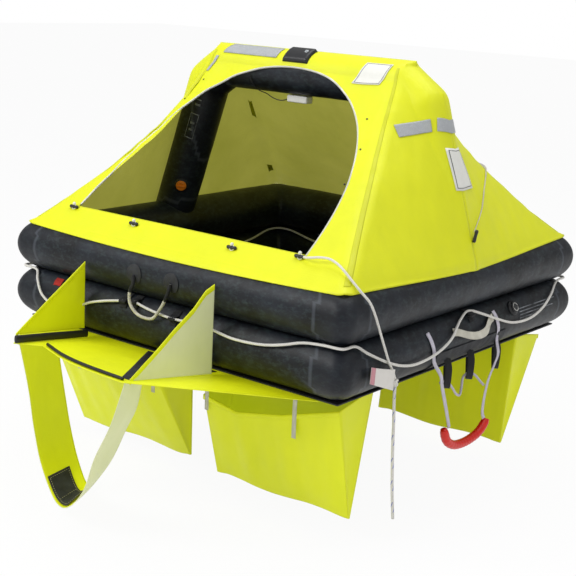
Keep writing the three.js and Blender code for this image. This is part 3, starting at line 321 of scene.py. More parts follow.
class Finish:
    """A procedural material that is written as sums on sockets."""

    def __init__(self, name, **constants):
        self.material = bpy.data.materials.new(name)
        self.material.use_nodes = True
        self.tree = self.material.node_tree
        self.shader = self.tree.nodes["Principled BSDF"]
        for key, value in constants.items():
            label = key.replace("_", " ").title().replace("Ior", "IOR")
            self.shader.inputs[label].default_value = value
        self.bumps = None

    def node(self, kind, settings=None, values=None):
        node = self.tree.nodes.new(kind)
        for key, value in (settings or {}).items():
            setattr(node, key, value)
        for key, value in (values or {}).items():
            socket = value.socket if isinstance(value, Value) else value
            if isinstance(socket, bpy.types.NodeSocket):
                self.tree.links.new(socket, node.inputs[key])
            else:
                node.inputs[key].default_value = socket
        return node

    def number(self, kind, settings, values, output=0):
        return Value(self, self.node(kind, settings, values).outputs[output])

    def place(self):
        return self.node("ShaderNodeTexCoord").outputs["Object"]

    def axes(self, source=None):
        source = self.place() if source is None else source
        node = self.node("ShaderNodeSeparateXYZ", None, {0: source})
        return [Value(self, node.outputs[k]) for k in range(3)]

    def unwrapped(self):
        node = self.node("ShaderNodeTexCoord")
        return self.axes(node.outputs["UV"])

    def mark(self, name):
        return self.number("ShaderNodeAttribute", {"attribute_name": name}, {}, output=2)

    def noise(self, scale, detail=3.0, roughness=0.55, stretch=(1, 1, 1)):
        spread = self.node("ShaderNodeMapping", None, {"Vector": self.place(), "Scale": stretch})
        return self.number("ShaderNodeTexNoise", None, {
            "Vector": spread.outputs[0], "Scale": scale, "Detail": detail, "Roughness": roughness})

    def blend(self, share, first, second):
        node = self.node("ShaderNodeMix", {"data_type": "RGBA"})
        for key, value in (("Factor_Float", share), ("A_Color", first), ("B_Color", second)):
            socket = next(s for s in node.inputs if s.identifier == key)
            value = value.socket if isinstance(value, Value) else value
            if isinstance(value, bpy.types.NodeSocket):
                self.tree.links.new(value, socket)
            else:
                socket.default_value = value
        return next(s for s in node.outputs if s.identifier == "Result_Color")

    def set(self, key, value):
        value = value.socket if isinstance(value, Value) else value
        if isinstance(value, bpy.types.NodeSocket):
            self.tree.links.new(value, self.shader.inputs[key])
        else:
            self.shader.inputs[key].default_value = value

    def bump(self, height, distance, strength=1.0):
        values = {"Height": height, "Distance": distance, "Strength": strength}
        if self.bumps is not None:
            values["Normal"] = self.bumps
        self.bumps = self.node("ShaderNodeBump", None, values).outputs[0]
        self.set("Normal", self.bumps)


def tone(red, green, blue):
    """A colour written in screen values from 0 to 255, as the shader needs it."""
    share = np.array([red, green, blue]) / 255
    linear = np.where(share <= 0.04045, share / 12.92, ((share + 0.055) / 1.055) ** 2.4)
    return (*linear.tolist(), 1.0)


def coated_cloth(name, colour, shade, roughness=0.48, glow=0.0):
    """Rubber coated cloth: a fine weave under a skin, soft creases and slight unevenness, and with glow a
    painted light in its own colours.
    """
    # Painted light: with glow above 0 the cloth gives off light in its own colours, standing in for sun
    # shining through it.
    finish = Finish(name, roughness=roughness, emission_strength=glow)
    cloud = finish.noise(3.2, 4).clear(0.3, 0.72)
    streak = finish.noise(14, 3, stretch=(1, 1, 0.25)).clear(0.35, 0.7)
    finish.set("Base Color", finish.blend(cloud * 0.6 + streak * 0.3, colour, shade))
    if glow:
        finish.set("Emission Color", finish.blend(cloud, colour, shade))
    finish.set("Roughness", roughness - 0.08 + finish.noise(20) * 0.16)
    x, y, z = finish.axes()
    weave = (x * 2600).sine() * (z * 2600).sine() + (y * 2600).sine() * (z * 2600).sine()
    finish.bump(finish.noise(7, 5, stretch=(1, 1, 0.45)), 0.012, 0.35)
    finish.bump(weave, 0.00025, 0.35)
    return finish


def tube_rubber(name):
    """Black rubberised tube cloth: cloudy, with glued tape bands at the corners."""
    finish = Finish(name, roughness=0.4, specular_ior_level=0.32)
    cloud = finish.noise(5.5, 5, 0.62).clear(0.38, 0.66)
    fleck = finish.noise(38, 4, 0.7, stretch=(1, 1, 1.8)).clear(0.48, 0.72)
    base = finish.blend(cloud, tone(9, 10, 15), tone(31, 36, 45))
    base = finish.blend(fleck * 0.5, base, tone(60, 74, 76))
    tape = finish.mark("tape")
    base = finish.blend(tape * 0.5, base, tone(19, 21, 28))
    line = tape.clear(0.05, 0.35) * (1 - tape.clear(0.65, 0.95))
    base = finish.blend(line * 0.35, base, tone(92, 98, 108))
    finish.set("Base Color", base)
    finish.set("Roughness", 0.36 + finish.noise(16) * 0.2)
    finish.bump(finish.noise(11, 4), 0.006, 0.4)
    finish.bump(finish.noise(420, 2), 0.0004, 0.35)
    return finish


def black_cloth(name, colour=(24, 25, 29)):
    finish = Finish(name, roughness=0.66)
    cloud = finish.noise(26, 4).clear(0.35, 0.7)
    finish.set("Base Color", finish.blend(cloud, tone(*colour), tone(46, 48, 53)))
    finish.set("Roughness", 0.58 + finish.noise(40) * 0.2)
    x, y, z = finish.axes()
    finish.bump((x * 2200).sine() * (y * 2200).sine() + (z * 2200).sine(), 0.0003, 0.4)
    finish.bump(finish.noise(30, 3), 0.003, 0.3)
    return finish


def webbing(name, colour=(232, 229, 222), shade=(196, 190, 196)):
    """Woven webbing: a chevron of threads along its length."""
    finish = Finish(name, roughness=0.8)
    along, across, _ = finish.unwrapped()
    rib = (along * 2100 + abs(across) * 2100).sine()
    cloud = finish.noise(30, 3).clear(0.3, 0.75)
    finish.set("Base Color", finish.blend(cloud * 0.6 + rib * 0.12 + 0.1, tone(*colour), tone(*shade)))
    finish.bump(rib, 0.0005, 0.6)
    return finish


def rope(name, colour=(240, 238, 232), shade=(188, 184, 178), fleck=None, pitch=0.022, strands=8):
    """Braided rope: two families of strands that cross, as ridges and gaps darkened with painted shade."""
    finish = Finish(name, roughness=0.82)
    along, around, _ = finish.unwrapped()
    turns = along * (2 * math.pi / pitch)
    around = around * (2 * math.pi * strands / 2)
    braid = (turns + around).sine() * (turns - around).sine()
    gap = abs(braid).clear(0.0, 0.35)
    # Painted shade: the darker colour lies in the gaps between the strands.
    base = finish.blend(gap, tone(*shade), tone(*colour))
    if fleck:
        spots = (turns * 0.5 + around * 0.5).sine().above(0.86) * (turns * 0.25).sine().above(0.1)
        base = finish.blend(spots, base, tone(*fleck))
    finish.set("Base Color", base)
    finish.bump(braid, 0.0006, 0.7)
    return finish


def moulded(name, colour, roughness=0.42, speck=0.15, **constants):
    """Moulded plastic with a faint grain."""
    finish = Finish(name, roughness=roughness, **constants)
    darker = tuple(max(c * 0.82, 0) for c in colour)
    finish.set("Base Color", finish.blend(finish.noise(60, 3) * speck * 2, tone(*colour), tone(*darker)))
    finish.set("Roughness", roughness - 0.05 + finish.noise(90) * 0.12)
    finish.bump(finish.noise(500, 2), 0.0002, 0.3)
    return finish


def reflective(name):
    """Retroreflective tape: small cells under a clear skin, with a paler rim between them."""
    finish = Finish(name, roughness=0.34, coat_weight=0.4, coat_roughness=0.15)
    cells = finish.number("ShaderNodeTexVoronoi", {"feature": "DISTANCE_TO_EDGE"}, {
        "Vector": finish.place(), "Scale": 260.0})
    rim = 1 - cells.clear(0.02, 0.09)
    base = finish.blend(rim * 0.7, tone(168, 172, 176), tone(214, 217, 218))
    finish.set("Base Color", finish.blend(finish.noise(24, 3) * 0.4, base, tone(140, 144, 150)))
    finish.bump(rim, 0.0003, 0.3)
    return finish


# Camera, made first with the cords

def set_camera():
    lens = bpy.data.cameras.new("camera")
    lens.sensor_width = 36
    lens.lens = 79.847
    lens.shift_x = -0.0160
    lens.shift_y = -0.0044
    lens.clip_end = 60
    camera = bpy.data.objects.new("camera", lens)
    bpy.context.collection.objects.link(camera)
    right = (0.78405547, 0.61859865, 0.05091892)
    up = (-0.18531551, 0.15500697, 0.97037673)
    back = (0.59238095, -0.77026525, 0.23616999)
    turn = Matrix((right, up, back)).transposed().to_4x4()
    camera.matrix_world = Matrix.Translation((3.15538899, -4.12683467, 1.40958932)) @ turn
    bpy.context.scene.camera = camera


set_camera()

ROPE_R = 0.005
LINE_REACH = TUBE_R + 0.003 + ROPE_R + 0.005
SIDE_TURNS = (
    lambda along, out: (along, -out),
    lambda along, out: (out, along),
    lambda along, out: (-along, out),
    lambda along, out: (-out, -along))


def beside(height, reach):
    centre = np.where(np.asarray(height) < JOINT_Z, LOWER_Z, UPPER_Z)
    return np.sqrt(np.maximum(reach ** 2 - (height - centre) ** 2, 0))


def on_side(side, points, outward, reach=LINE_REACH):
    """Places along a side and heights, in millimetres, as points beside the lower tube."""
    laid = []
    for along, z in points:
        out = TUBE_HALF + outward * float(beside(z / 1000, reach))
        laid.append((*SIDE_TURNS[side](along / 1000, out), z / 1000))
    return laid


def corner_place(side, out, z):
    return [(*SIDE_TURNS[side](out, out), z)]


FRONT_RIGHT = [(-150, 188), (-60, 176), (60, 168), (160, 172), (250, 168), (358, 158), (484, 164),
               (568, 180), (639, 199), (722, 208)]
RIGHT_LINE = [(-728, 205), (-693, 180), (-570, 122), (-455, 92), (-371, 89), (-269, 104),
              (-181, 136), (-80, 188), (0, 203), (85, 178), (154, 152), (286, 114), (432, 108),
              (528, 131), (617, 167), (728, 205)]
FAR_LINE = [(-728, 205), (-600, 165), (-400, 112), (-200, 150), (0, 203), (200, 150), (400, 112),
            (600, 165), (728, 205)]
FRONT_LEFT = [(-722, 205), (-686, 176), (-640, 128), (-576, 96), (-500, 92), (-430, 118),
              (-366, 146), (-290, 166), (-205, 182)]
INNER_LINE = [(-600, 206), (-430, 182), (-280, 170), (-130, 184), (0, 206), (130, 184),
              (280, 170), (430, 182), (600, 206)]
OUTER_ROUTE = (on_side(0, FRONT_RIGHT, 1) + corner_place(0, 0.8, 0.21)
               + on_side(1, RIGHT_LINE, 1) + corner_place(1, 0.8, 0.21)
               + on_side(2, FAR_LINE, 1) + corner_place(2, 0.8, 0.21)
               + on_side(3, FAR_LINE, 1) + corner_place(3, 0.8, 0.21)
               + on_side(0, FRONT_LEFT, 1))
INNER_ROUTE = (on_side(2, INNER_LINE, -1) + corner_place(2, 0.65, 0.208)
               + on_side(3, INNER_LINE, -1) + corner_place(3, 0.65, 0.208)
               + on_side(0, INNER_LINE, -1) + corner_place(0, 0.65, 0.208)
               + on_side(1, INNER_LINE, -1))
HAND_ROUTE = np.array([
    (549.2, -709, 466), (560, -712, 467), (590, -720, 473), (622, -716, 479), (660, -712, 480),
    (704, -720, 470), (742, -730, 452), (774, -732, 428), (808, -728, 398), (842, -716, 362),
    (856, -702, 320), (859, -684, 282), (860, -658, 232), (860, -632, 185), (860, -605, 138),
    (858, -574, 98), (858, -556, 68)]) / 1000
PAINTER_ROUTE = np.array([
    (858, -553, 38), (859, -555, 10), (860, -554, -30), (860, -550, -70), (860, -547, -110),
    (860, -545, -150), (860, -542, -190), (860, -539, -230), (860, -535, -270), (860, -530, -320),
    (860, -524, -370), (860, -516, -420), (860, -508, -470)]) / 1000

line_rope = rope("line_rope").material
painter_rope = rope("painter_rope", fleck=(70, 96, 190)).material


def dressed(piece, material, *nodes, body="raft"):
    """Gives a piece its material, slot and body, and hides the solids it stands for."""
    piece.data.materials.append(material)
    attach(piece, body)
    if nodes:
        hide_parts(*nodes)
    return piece


def knot(name, centre, radius):
    """A stopper knot: a trefoil of rope drawn tight, thick enough to close on itself."""
    t = np.linspace(0, 2 * math.pi, 160, endpoint=False)
    x = np.sin(t) + 2 * np.sin(2 * t)
    y = np.cos(t) - 2 * np.cos(2 * t)
    z = -np.sin(3 * t) * 1.3
    path = np.stack([z, x, y], 1) * radius / 3.4 + np.asarray(centre)
    tangent = unit(np.roll(path, -1, 0) - np.roll(path, 1, 0))
    away = unit(path - np.asarray(centre))
    side = unit(np.cross(tangent, away))
    lift = np.cross(side, tangent)
    angle = np.arange(14) / 14 * 2 * math.pi
    ring = side[:, None] * np.cos(angle)[None, :, None] + lift[:, None] * np.sin(angle)[None, :, None]
    grid = path[:, None] + ring * 0.0048
    return surface(name, grid, u=np.linspace(0, 0.12, 160), v=np.arange(14) / 14,
                   ring_rows=True, ring_cols=True)


outer_path = smooth_path(OUTER_ROUTE, 1500)
dressed(tube("outer_rope", outer_path, ROPE_R, 12), line_rope, "outer_lifeline")
inner_path = smooth_path(INNER_ROUTE, 1100)
dressed(tube("inner_rope", inner_path, ROPE_R, 10), line_rope, "inner_lifeline")
hand_path = smooth_path(HAND_ROUTE, 240)
hand_line = dressed(tube("sill_rope", hand_path, 0.0045, 12, towards=(0.5, 0.85, 0.1)), line_rope,
                    "hand_line")
painter_path = smooth_path(PAINTER_ROUTE, 200)
painter = dressed(tube("painter_rope", painter_path, 0.0055, 12, towards=(1, 0, 0)), painter_rope,
                  "painter_line")
painter_knot = dressed(knot("rope_knot", (0.858, -0.554, 0.053), 0.0125), line_rope)
tag_material = moulded("tag_white", (236, 232, 226), 0.5).material
tag_across = np.linspace(0, 1, 24)[:, None, None]
tag_along = np.linspace(0, 1, 12)[None, :, None]
tag_low = mix(np.array([0.8575, -0.715, 0.084]), np.array([0.8575, -0.570, 0.028]), tag_across)
tag_high = mix(np.array([0.8585, -0.712, 0.142]), np.array([0.8585, -0.566, 0.104]), tag_across)
tag_grid = mix(tag_low, tag_high, tag_along)
tag_grid[..., 0] += 0.011 * np.sin(tag_across[..., 0] * math.pi) + 0.0035
tag = thick(surface("line_tag", tag_grid), 0.0014, 0)
dressed(tag, tag_material, "painter_tag")
tag_end = thick(surface("tag_end", tag_grid[:4] + np.array([0.0013, 0, 0])), 0.0006, 0)
dressed(tag_end, moulded("tag_pink", (214, 150, 160), 0.5).material)


# Tubes

tube_look = tube_rubber("tube_rubber").material


def ring_tube(name, centre_z, flat_side, seed, node):
    """A round section, flattened where the tubes are glued, carried round a square plan.

    Every angle of the section has a plan of its own: straight sides and corners that get
    rounder outwards. A slight unevenness follows the section's radius, and the corner tapes
    stand proud of it by less than a millimetre.
    """
    sections, side_steps, corner_steps = 72, 70, 14
    turn = (np.arange(sections) + 0.5) / sections * 2 * math.pi
    rise = np.sin(turn) * TUBE_R
    flat = abs(JOINT_Z - centre_z) - 0.00015
    rise = np.minimum(rise, flat) if flat_side > 0 else np.maximum(rise, -flat)
    out = np.cos(turn) * TUBE_R
    corner_r = CORNER_INNER + CORNER_SPAN * (out + TUBE_R) / (2 * TUBE_R)
    half = TUBE_HALF + out
    corner = np.arange(4)[:, None, None]
    bend = (corner + np.linspace(0, 1, corner_steps)[None, :, None]) * math.pi / 2
    sign_x = np.sign(np.cos((corner + 0.5) * math.pi / 2))
    sign_y = np.sign(np.sin((corner + 0.5) * math.pi / 2))
    x = sign_x * (half - corner_r) + corner_r * np.cos(bend)
    y = sign_y * (half - corner_r) + corner_r * np.sin(bend)
    arcs = np.stack([x, y], -1)
    starts = arcs[:, -1:]
    ends = np.roll(arcs, -1, 0)[:, :1]
    share = np.linspace(0, 1, side_steps + 2)[None, 1:-1, None, None]
    sides = mix(starts, ends, share)
    plan = np.concatenate([arcs, sides], 1).reshape(-1, sections, 2)
    z = np.broadcast_to(centre_z + rise, plan.shape[:2])
    points = np.concatenate([plan, z[..., None]], -1)
    centre = np.stack([np.sign(points[..., 0]) * TUBE_HALF, np.sign(points[..., 1]) * TUBE_HALF,
                       np.full(z.shape, centre_z)], -1)
    along_x = np.abs(points[..., 0]) < np.abs(points[..., 1])
    centre[..., 0] = np.where(along_x & (np.abs(points[..., 0]) < TUBE_HALF), points[..., 0], centre[..., 0])
    centre[..., 1] = np.where(~along_x & (np.abs(points[..., 1]) < TUBE_HALF), points[..., 1], centre[..., 1])
    away = unit(points - centre)
    near = np.minimum(np.abs(points[..., 0]), np.abs(points[..., 1]))
    tape = smooth(0.700, 0.703, near)
    from_corner = np.abs(near - 0.66)
    draw = np.exp(-(from_corner / 0.10) ** 2) * np.sin(turn * 9 + near * 60 + seed)
    push = -0.0012 + 0.0010 * ripple(points, 0.31, seed) + 0.0006 * tape + 0.0006 * draw
    inner = smooth(0.2, -0.6, np.cos(turn))[None]
    push = push - 0.003 * inner * np.exp(-((near - 0.62) / 0.05) ** 2)
    points = points + away * push[..., None]
    run = np.arange(points.shape[0]) / points.shape[0] * 5.9
    piece = surface(name, points[:, ::-1], u=run, v=turn[::-1] / (2 * math.pi),
                    ring_rows=True, ring_cols=True, marks={"tape": tape[:, ::-1]})
    return dressed(piece, tube_look, node)


ring_tube("lower_ring", LOWER_Z, 1, 3, "lower_tube")
ring_tube("upper_ring", UPPER_Z, -1, 8, "upper_tube")


def arch():
    """A round tube on two legs and a ridge: straight lengths between mitred rings."""
    sides = 56
    into = unit(np.diff(ARCH_LINE, axis=0))
    before = np.vstack([into[:1], into])
    after = np.vstack([into, into[-1:]])
    mean = unit(before + after)
    stretch = ARCH_R / (mean * before).sum(-1, keepdims=True)
    turn = np.arange(sides) / sides * 2 * math.pi
    cos, sin = np.cos(turn)[None], np.sin(turn)[None]
    x = ARCH_LINE[:, :1] - mean[:, 1:] * cos * stretch
    z = ARCH_LINE[:, 1:] + mean[:, :1] * cos * stretch
    mitres = np.stack([x, np.broadcast_to(sin * ARCH_R, x.shape), z], -1)
    share = np.linspace(0, 1, 24, endpoint=False)[None, :, None, None]
    rings = mix(mitres[:-1, None], mitres[1:, None], share).reshape(-1, sides, 3)
    rings = np.concatenate([rings, mitres[-1:]])
    knee = np.abs(np.abs(rings[..., 0]) - 0.49)
    tape = 1 - smooth(0.075, 0.079, knee)
    foot = 1 - smooth(0.415, 0.418, rings[..., 2])
    tape = np.maximum(tape, foot)
    middle = rings.mean(1, keepdims=True)
    push = 0.0004 * tape + 0.0007 * ripple(rings, 0.16, 5) - 0.0011
    rings = rings + unit(rings - middle) * push[..., None]
    piece = surface("arch_air_tube", rings[:, ::-1], ring_cols=True, caps=True, marks={"tape": tape[:, ::-1]})
    return dressed(piece, tube_look, "arch_tube")


arch()


# Canopy

def outline_of_arch(reach):
    """The arch's outer outline from a foot to the ridge, a given reach from its centre line."""
    half = ARCH_LINE[3:][::-1]
    after = np.vstack([half[1:], [(0, ARCH_TOP)]])
    out = unit(after - half)
    into = np.vstack([out[:1], out[:-1]])
    mean = unit(into + out)
    stretch = reach / (mean * into).sum(-1, keepdims=True)
    return half + np.stack([mean[:, 1], -mean[:, 0]], 1) * stretch


ARCH_OUTLINE = outline_of_arch(RIDGE_REACH)


def folded(u):
    fold = np.where(u > 0.5, 1 - u, u)
    on_end = fold < END_SHARE
    along = np.where(on_end, fold / END_SHARE, (0.5 - fold) / (0.5 - END_SHARE))
    return np.where(u > 0.5, -1.0, 1.0), on_end, along


def edge_line(u):
    """Where the canopy leaves the upper tube: an angle round the tube that grows to the corners."""
    sign, on_end, along = folded(u)
    middle = np.where(on_end, EDGE_SIDE, EDGE_FRONT)
    angle = np.radians(mix(middle, EDGE_CORNER, along ** 2))
    out = TUBE_HALF + EDGE_REACH * np.cos(angle)
    z = UPPER_Z + EDGE_REACH * np.sin(angle)
    return np.where(on_end, out, along * out), np.where(on_end, along * out, out), z


CORNER_OUT = TUBE_HALF + EDGE_REACH * math.cos(math.radians(EDGE_CORNER))


def sag_at(v):
    return 4 * v * (1 - v) * (1 - 0.09 * (1 - 2 * v))


def plain_canopy(u, v):
    """Straight hips from the tube's corners to the ridge's ends, drawn in by a parabola."""
    sign, on_end, along = folded(u)
    edge_x, edge_y, edge_z = edge_line(u)
    z = mix(edge_z, TANGENT_Z, v)
    hip_x = mix(CORNER_OUT, HIP_TOP_X, v) - HIP_SAG_X * sag_at(v)
    foot_y = np.where(on_end, CORNER_OUT, edge_y)
    hip_y = mix(foot_y, HIP_TOP_Y, v) - HIP_SAG_Y * sag_at(v)
    leg = np.interp(z, ARCH_OUTLINE[:, 1], ARCH_OUTLINE[:, 0])
    leg = np.where(v > 0, np.maximum(leg, hip_x), edge_x)
    start = mix(edge_x, leg, np.minimum(v / 0.08, 1))
    x = np.where(on_end, mix(start, hip_x, along), along * hip_x)
    y = np.where(on_end, along * hip_y, hip_y)
    return np.stack([sign * x, -y, z], -1)


def pushed_off(p, a, b, reach):
    """Keeps points at least a reach away from the line between two points."""
    line = b - a
    share = np.clip(((p - a) @ line) / (line @ line), 0, 1)
    foot = a + share[..., None] * line
    away = p - foot
    far = np.linalg.norm(away, axis=-1, keepdims=True)
    return np.where(far < reach, foot + away / np.maximum(far, 1e-9) * reach, p)


def off_frame(p):
    legs = np.stack([ARCH_LINE[:, 0], np.zeros(6), ARCH_LINE[:, 1]], 1)
    for a, b in zip(legs[:-1], legs[1:]):
        p = pushed_off(p, a, b, RIDGE_REACH)
    out_x = np.abs(p[..., 0]) - TUBE_HALF
    out_y = np.abs(p[..., 1]) - TUBE_HALF
    out = np.maximum(out_x, out_y)
    far = np.hypot(out, p[..., 2] - UPPER_Z)
    near = (far < EDGE_REACH) & (out > 0)
    scale = np.where(near, EDGE_REACH / np.maximum(far, 1e-9), 1.0)
    step = out * scale - out
    x = np.where(out_x >= out_y, p[..., 0] + np.sign(p[..., 0]) * step, p[..., 0])
    y = np.where(out_y >= out_x, p[..., 1] + np.sign(p[..., 1]) * step, p[..., 1])
    return np.stack([x, y, UPPER_Z + (p[..., 2] - UPPER_Z) * scale], -1)


def canopy(u, v):
    """The canopy's inner face at shares u round it and v up it, with its hips rounded."""
    u, v = np.broadcast_arrays(np.asarray(u, float), np.asarray(v, float))
    width = 0.014 + 0.028 * v
    points = plain_canopy(u, v)
    for hip in (END_SHARE, 1 - END_SHARE):
        t = ((u - hip + width) / (2 * width))[..., None]
        a = plain_canopy(hip - width, v)
        b = plain_canopy(np.full(u.shape, hip), v)
        c = plain_canopy(hip + width, v)
        round_ = a * (1 - t) ** 2 + b * 2 * t * (1 - t) + c * t ** 2
        points = np.where((t > 0) & (t < 1), round_, points)
    return off_frame(points)


def cloth(u, v, seed=11):
    """The canopy with the soft folds of stretched cloth.

    Sums of sine waves push it along lines from the raft's middle, and short draws run off
    the hips. Nothing moves where it lies on the tube, the ridge or the legs.
    """
    u, v = np.broadcast_arrays(np.asarray(u, float), np.asarray(v, float))
    points = canopy(u, v)
    free = smooth(0.03, 0.18, v) * (1 - smooth(0.84, 0.97, v)) * smooth(0.0, 0.07, np.minimum(u, 1 - u))
    slow = ripple(points, 0.34, seed) * 0.0030
    fine = ripple(points * np.array([1, 1, 0.35]), 0.085, seed + 1) * 0.0012
    hip = np.minimum(np.abs(u - END_SHARE), np.abs(u - 1 + END_SHARE))
    draws = np.sin(v * 62 + np.sin(v * 17 + seed) * 2) * np.exp(-hip / 0.022) * 0.0012
    away = unit(points - np.array([0, 0, 0.3]))
    return points + away * (free * (slow + fine + draws))[..., None]


def front_uv(x, z):
    """Shares u and v of the front panel's point at a given x and height."""
    x, z = np.asarray(x, float), np.asarray(z, float)
    along = np.abs(x) / 0.75
    for _ in range(8):
        edge_z = UPPER_Z + EDGE_REACH * np.sin(np.radians(mix(EDGE_FRONT, EDGE_CORNER, along ** 2)))
        v = (z - edge_z) / (TANGENT_Z - edge_z)
        along = np.abs(x) / (mix(CORNER_OUT, HIP_TOP_X, v) - HIP_SAG_X * sag_at(v))
    fold = 0.5 - along * (0.5 - END_SHARE)
    return np.where(x >= 0, fold, 1 - fold), v


def end_uv(y, z):
    """Shares u and v of the right end's point at a given y and height."""
    y, z = np.asarray(y, float), np.asarray(z, float)
    along = np.abs(y) / 0.75
    for _ in range(8):
        edge_z = UPPER_Z + EDGE_REACH * np.sin(np.radians(mix(EDGE_SIDE, EDGE_CORNER, along ** 2)))
        v = (z - edge_z) / (TANGENT_Z - edge_z)
        along = np.abs(y) / (mix(CORNER_OUT, HIP_TOP_Y, v) - HIP_SAG_Y * sag_at(v))
    return along * END_SHARE, v


def front_cloth(x, z):
    return cloth(*front_uv(x, z))


def back_cloth(x, z):
    return cloth(*front_uv(x, z), seed=29) * np.array([1, -1, 1])


def right_cloth(y, z):
    y = np.asarray(y, float)
    points = cloth(*end_uv(y, z))
    points[..., 1] = np.where(y > 0, -points[..., 1], points[..., 1])
    return points


def roof_cloth(x, y):
    """The front half from above: up the panel, then over the ridge to the seam on its crown."""
    x, y = np.broadcast_arrays(np.asarray(x, float), np.asarray(y, float))
    shares = np.linspace(0.6, 1, 400)
    depth = mix(TUBE_HALF + EDGE_REACH * math.cos(math.radians(EDGE_FRONT)), HIP_TOP_Y, shares)
    depth = depth - HIP_SAG_Y * sag_at(shares)
    v = np.interp(-y, depth[::-1], shares[::-1])
    along = np.abs(x) / (mix(CORNER_OUT, HIP_TOP_X, v) - HIP_SAG_X * sag_at(v))
    fold = 0.5 - along * (0.5 - END_SHARE)
    points = cloth(np.where(x >= 0, fold, 1 - fold), v)
    sine = np.clip(-y * math.sin(TANGENT) / HIP_TOP_Y, 0, math.sin(TANGENT))
    crown = np.stack([x, y, ARCH_TOP + RIDGE_REACH * np.sqrt(1 - sine ** 2)], -1)
    return np.where((-y < HIP_TOP_Y)[..., None], crown, points)


def door_loop(steps):
    """The door from the right of the sill over the top to the left, as x and height."""
    turn = np.linspace(0, math.pi, steps)
    rise = np.sin(turn)
    reach = np.maximum(1 - rise ** 2, 0) ** (1 / DOOR_ROUND)
    return DOOR_CENTRE + np.sign(np.cos(turn)) * DOOR_HALF * reach, mix(DOOR_SILL, DOOR_TOP, rise)


SPLIT_U = 0.245
V_STEPS = np.linspace(0, 1, 97)
END_U = np.concatenate([np.linspace(0, 0.16, 34), np.linspace(0.16, SPLIT_U, 33)[1:]])
MID_U = np.linspace(SPLIT_U, 1 - SPLIT_U, 171)
ROUND_U = np.concatenate([END_U, MID_U[1:-1], 1 - END_U[::-1]])


def ridge_rows(row, steps=7):
    """Rows from the top of a panel over the ridge to the seam on its crown."""
    turn = np.linspace(TANGENT, 0, steps)[:, None]
    y = row[None, :, 1] * np.sin(turn) / math.sin(TANGENT)
    z = np.maximum(ARCH_TOP + RIDGE_REACH * np.cos(turn), row[None, :, 2])
    x = np.broadcast_to(row[None, :, 0], y.shape)
    return np.stack([x, np.minimum(y, -0.00015), z], -1)


def cloth_round_door():
    """The front panel as a ring of cloth round the door.

    In the plane of u and v, rays run from the door's middle through the points of the
    panel's border, and each ray is shared evenly between the door and the border.
    """
    centre_u, centre_v = front_uv(DOOR_CENTRE, 0.70)
    squeeze = 2.2
    door_x, door_z = door_loop(1600)
    sill_x = np.linspace(door_x[-1], door_x[0], 500)
    door_u, door_v = front_uv(np.append(door_x, sill_x), np.append(door_z, np.full(500, DOOR_SILL)))

    def ray(u, v):
        return np.arctan2(v - centre_v, (u - centre_u) * squeeze)

    turn = ray(door_u, door_v)
    order = np.argsort(turn)
    reach = np.hypot((door_u - centre_u) * squeeze, door_v - centre_v)
    border = np.concatenate([
        np.stack([np.full(96, SPLIT_U), V_STEPS[:0:-1]], 1),
        np.stack([MID_U[:-1], np.zeros(170)], 1),
        np.stack([np.full(96, 1 - SPLIT_U), V_STEPS[:-1]], 1),
        np.stack([MID_U[:0:-1], np.ones(170)], 1)])
    at = ray(border[:, 0], border[:, 1])
    length = np.interp(at, turn[order], reach[order], period=2 * math.pi)
    inner = np.stack([centre_u + length * np.cos(at) / squeeze, centre_v + length * np.sin(at)], 1)
    for x in (DOOR_CENTRE - DOOR_HALF, DOOR_CENTRE + DOOR_HALF):
        corner = np.array(front_uv(x, DOOR_SILL))
        gap = np.abs(np.angle(np.exp(1j * (at - ray(*corner)))))
        inner[np.argmin(gap)] = corner
    share = np.linspace(0, 1, 45)[:, None]
    ring_u, ring_v = mix(inner[:, 0], border[:, 0], share), mix(inner[:, 1], border[:, 1], share)
    ring = cloth(ring_u, ring_v)
    draw = np.sin(at * 23) * np.exp(-share / 0.2) * share * 0.012
    ring = ring + unit(ring - np.array([0, 0, 0.3])) * (draw * (1 - smooth(0.85, 1, share)))[..., None]
    return np.concatenate([ring, ring[:, :1]], 1)


canopy_look = coated_cloth("canopy_yellow", tone(236, 240, 6), tone(222, 228, 4)).material
# Painted light: the glow of the canopy's inside, the pale reverse and the bags stands in for sun shining
# through the cloth.
inner_look = coated_cloth("canopy_inside", tone(204, 202, 92), tone(184, 184, 74), glow=0.36).material
pale_look = coated_cloth("pale_reverse", tone(230, 233, 190), tone(216, 221, 168), glow=0.10).material
bag_look = coated_cloth("bag_yellow", tone(226, 232, 8), tone(212, 220, 4), glow=0.16).material
bag_inner_look = coated_cloth("bag_inside", tone(210, 218, 40), tone(194, 204, 30), glow=0.24).material


def canopy_half(name, node, front):
    crown = ridge_rows(canopy(ROUND_U, np.ones(len(ROUND_U))))
    if front:
        right = cloth(END_U[None], V_STEPS[:, None])
        left = cloth(1 - END_U[None], V_STEPS[:, None])
        grids = [cloth_round_door(), right, left, crown]
    else:
        flip = np.array([1, -1, 1])
        grids = [cloth(ROUND_U[None], V_STEPS[:, None], seed=29) * flip, crown * flip]
    piece = sewn(name, grids, away_from=(0, 0, 0.3), weld=1.5e-4)
    thick(piece, CANOPY_T, 1, other_side=1)
    dressed(piece, canopy_look, node)
    piece.data.materials.append(inner_look)
    return piece


canopy_front = canopy_half("canopy_cloth_front", "canopy_front", True)
canopy_back = canopy_half("canopy_cloth_back", "canopy_back", False)


def outward(grid, middle=(0, 0, 0.3)):
    """Unit normals of a grid, turned away from a point."""
    normals = grid_normals(grid)
    facing = np.sign((normals * (grid - np.asarray(middle))).sum(-1).mean())
    return normals * facing


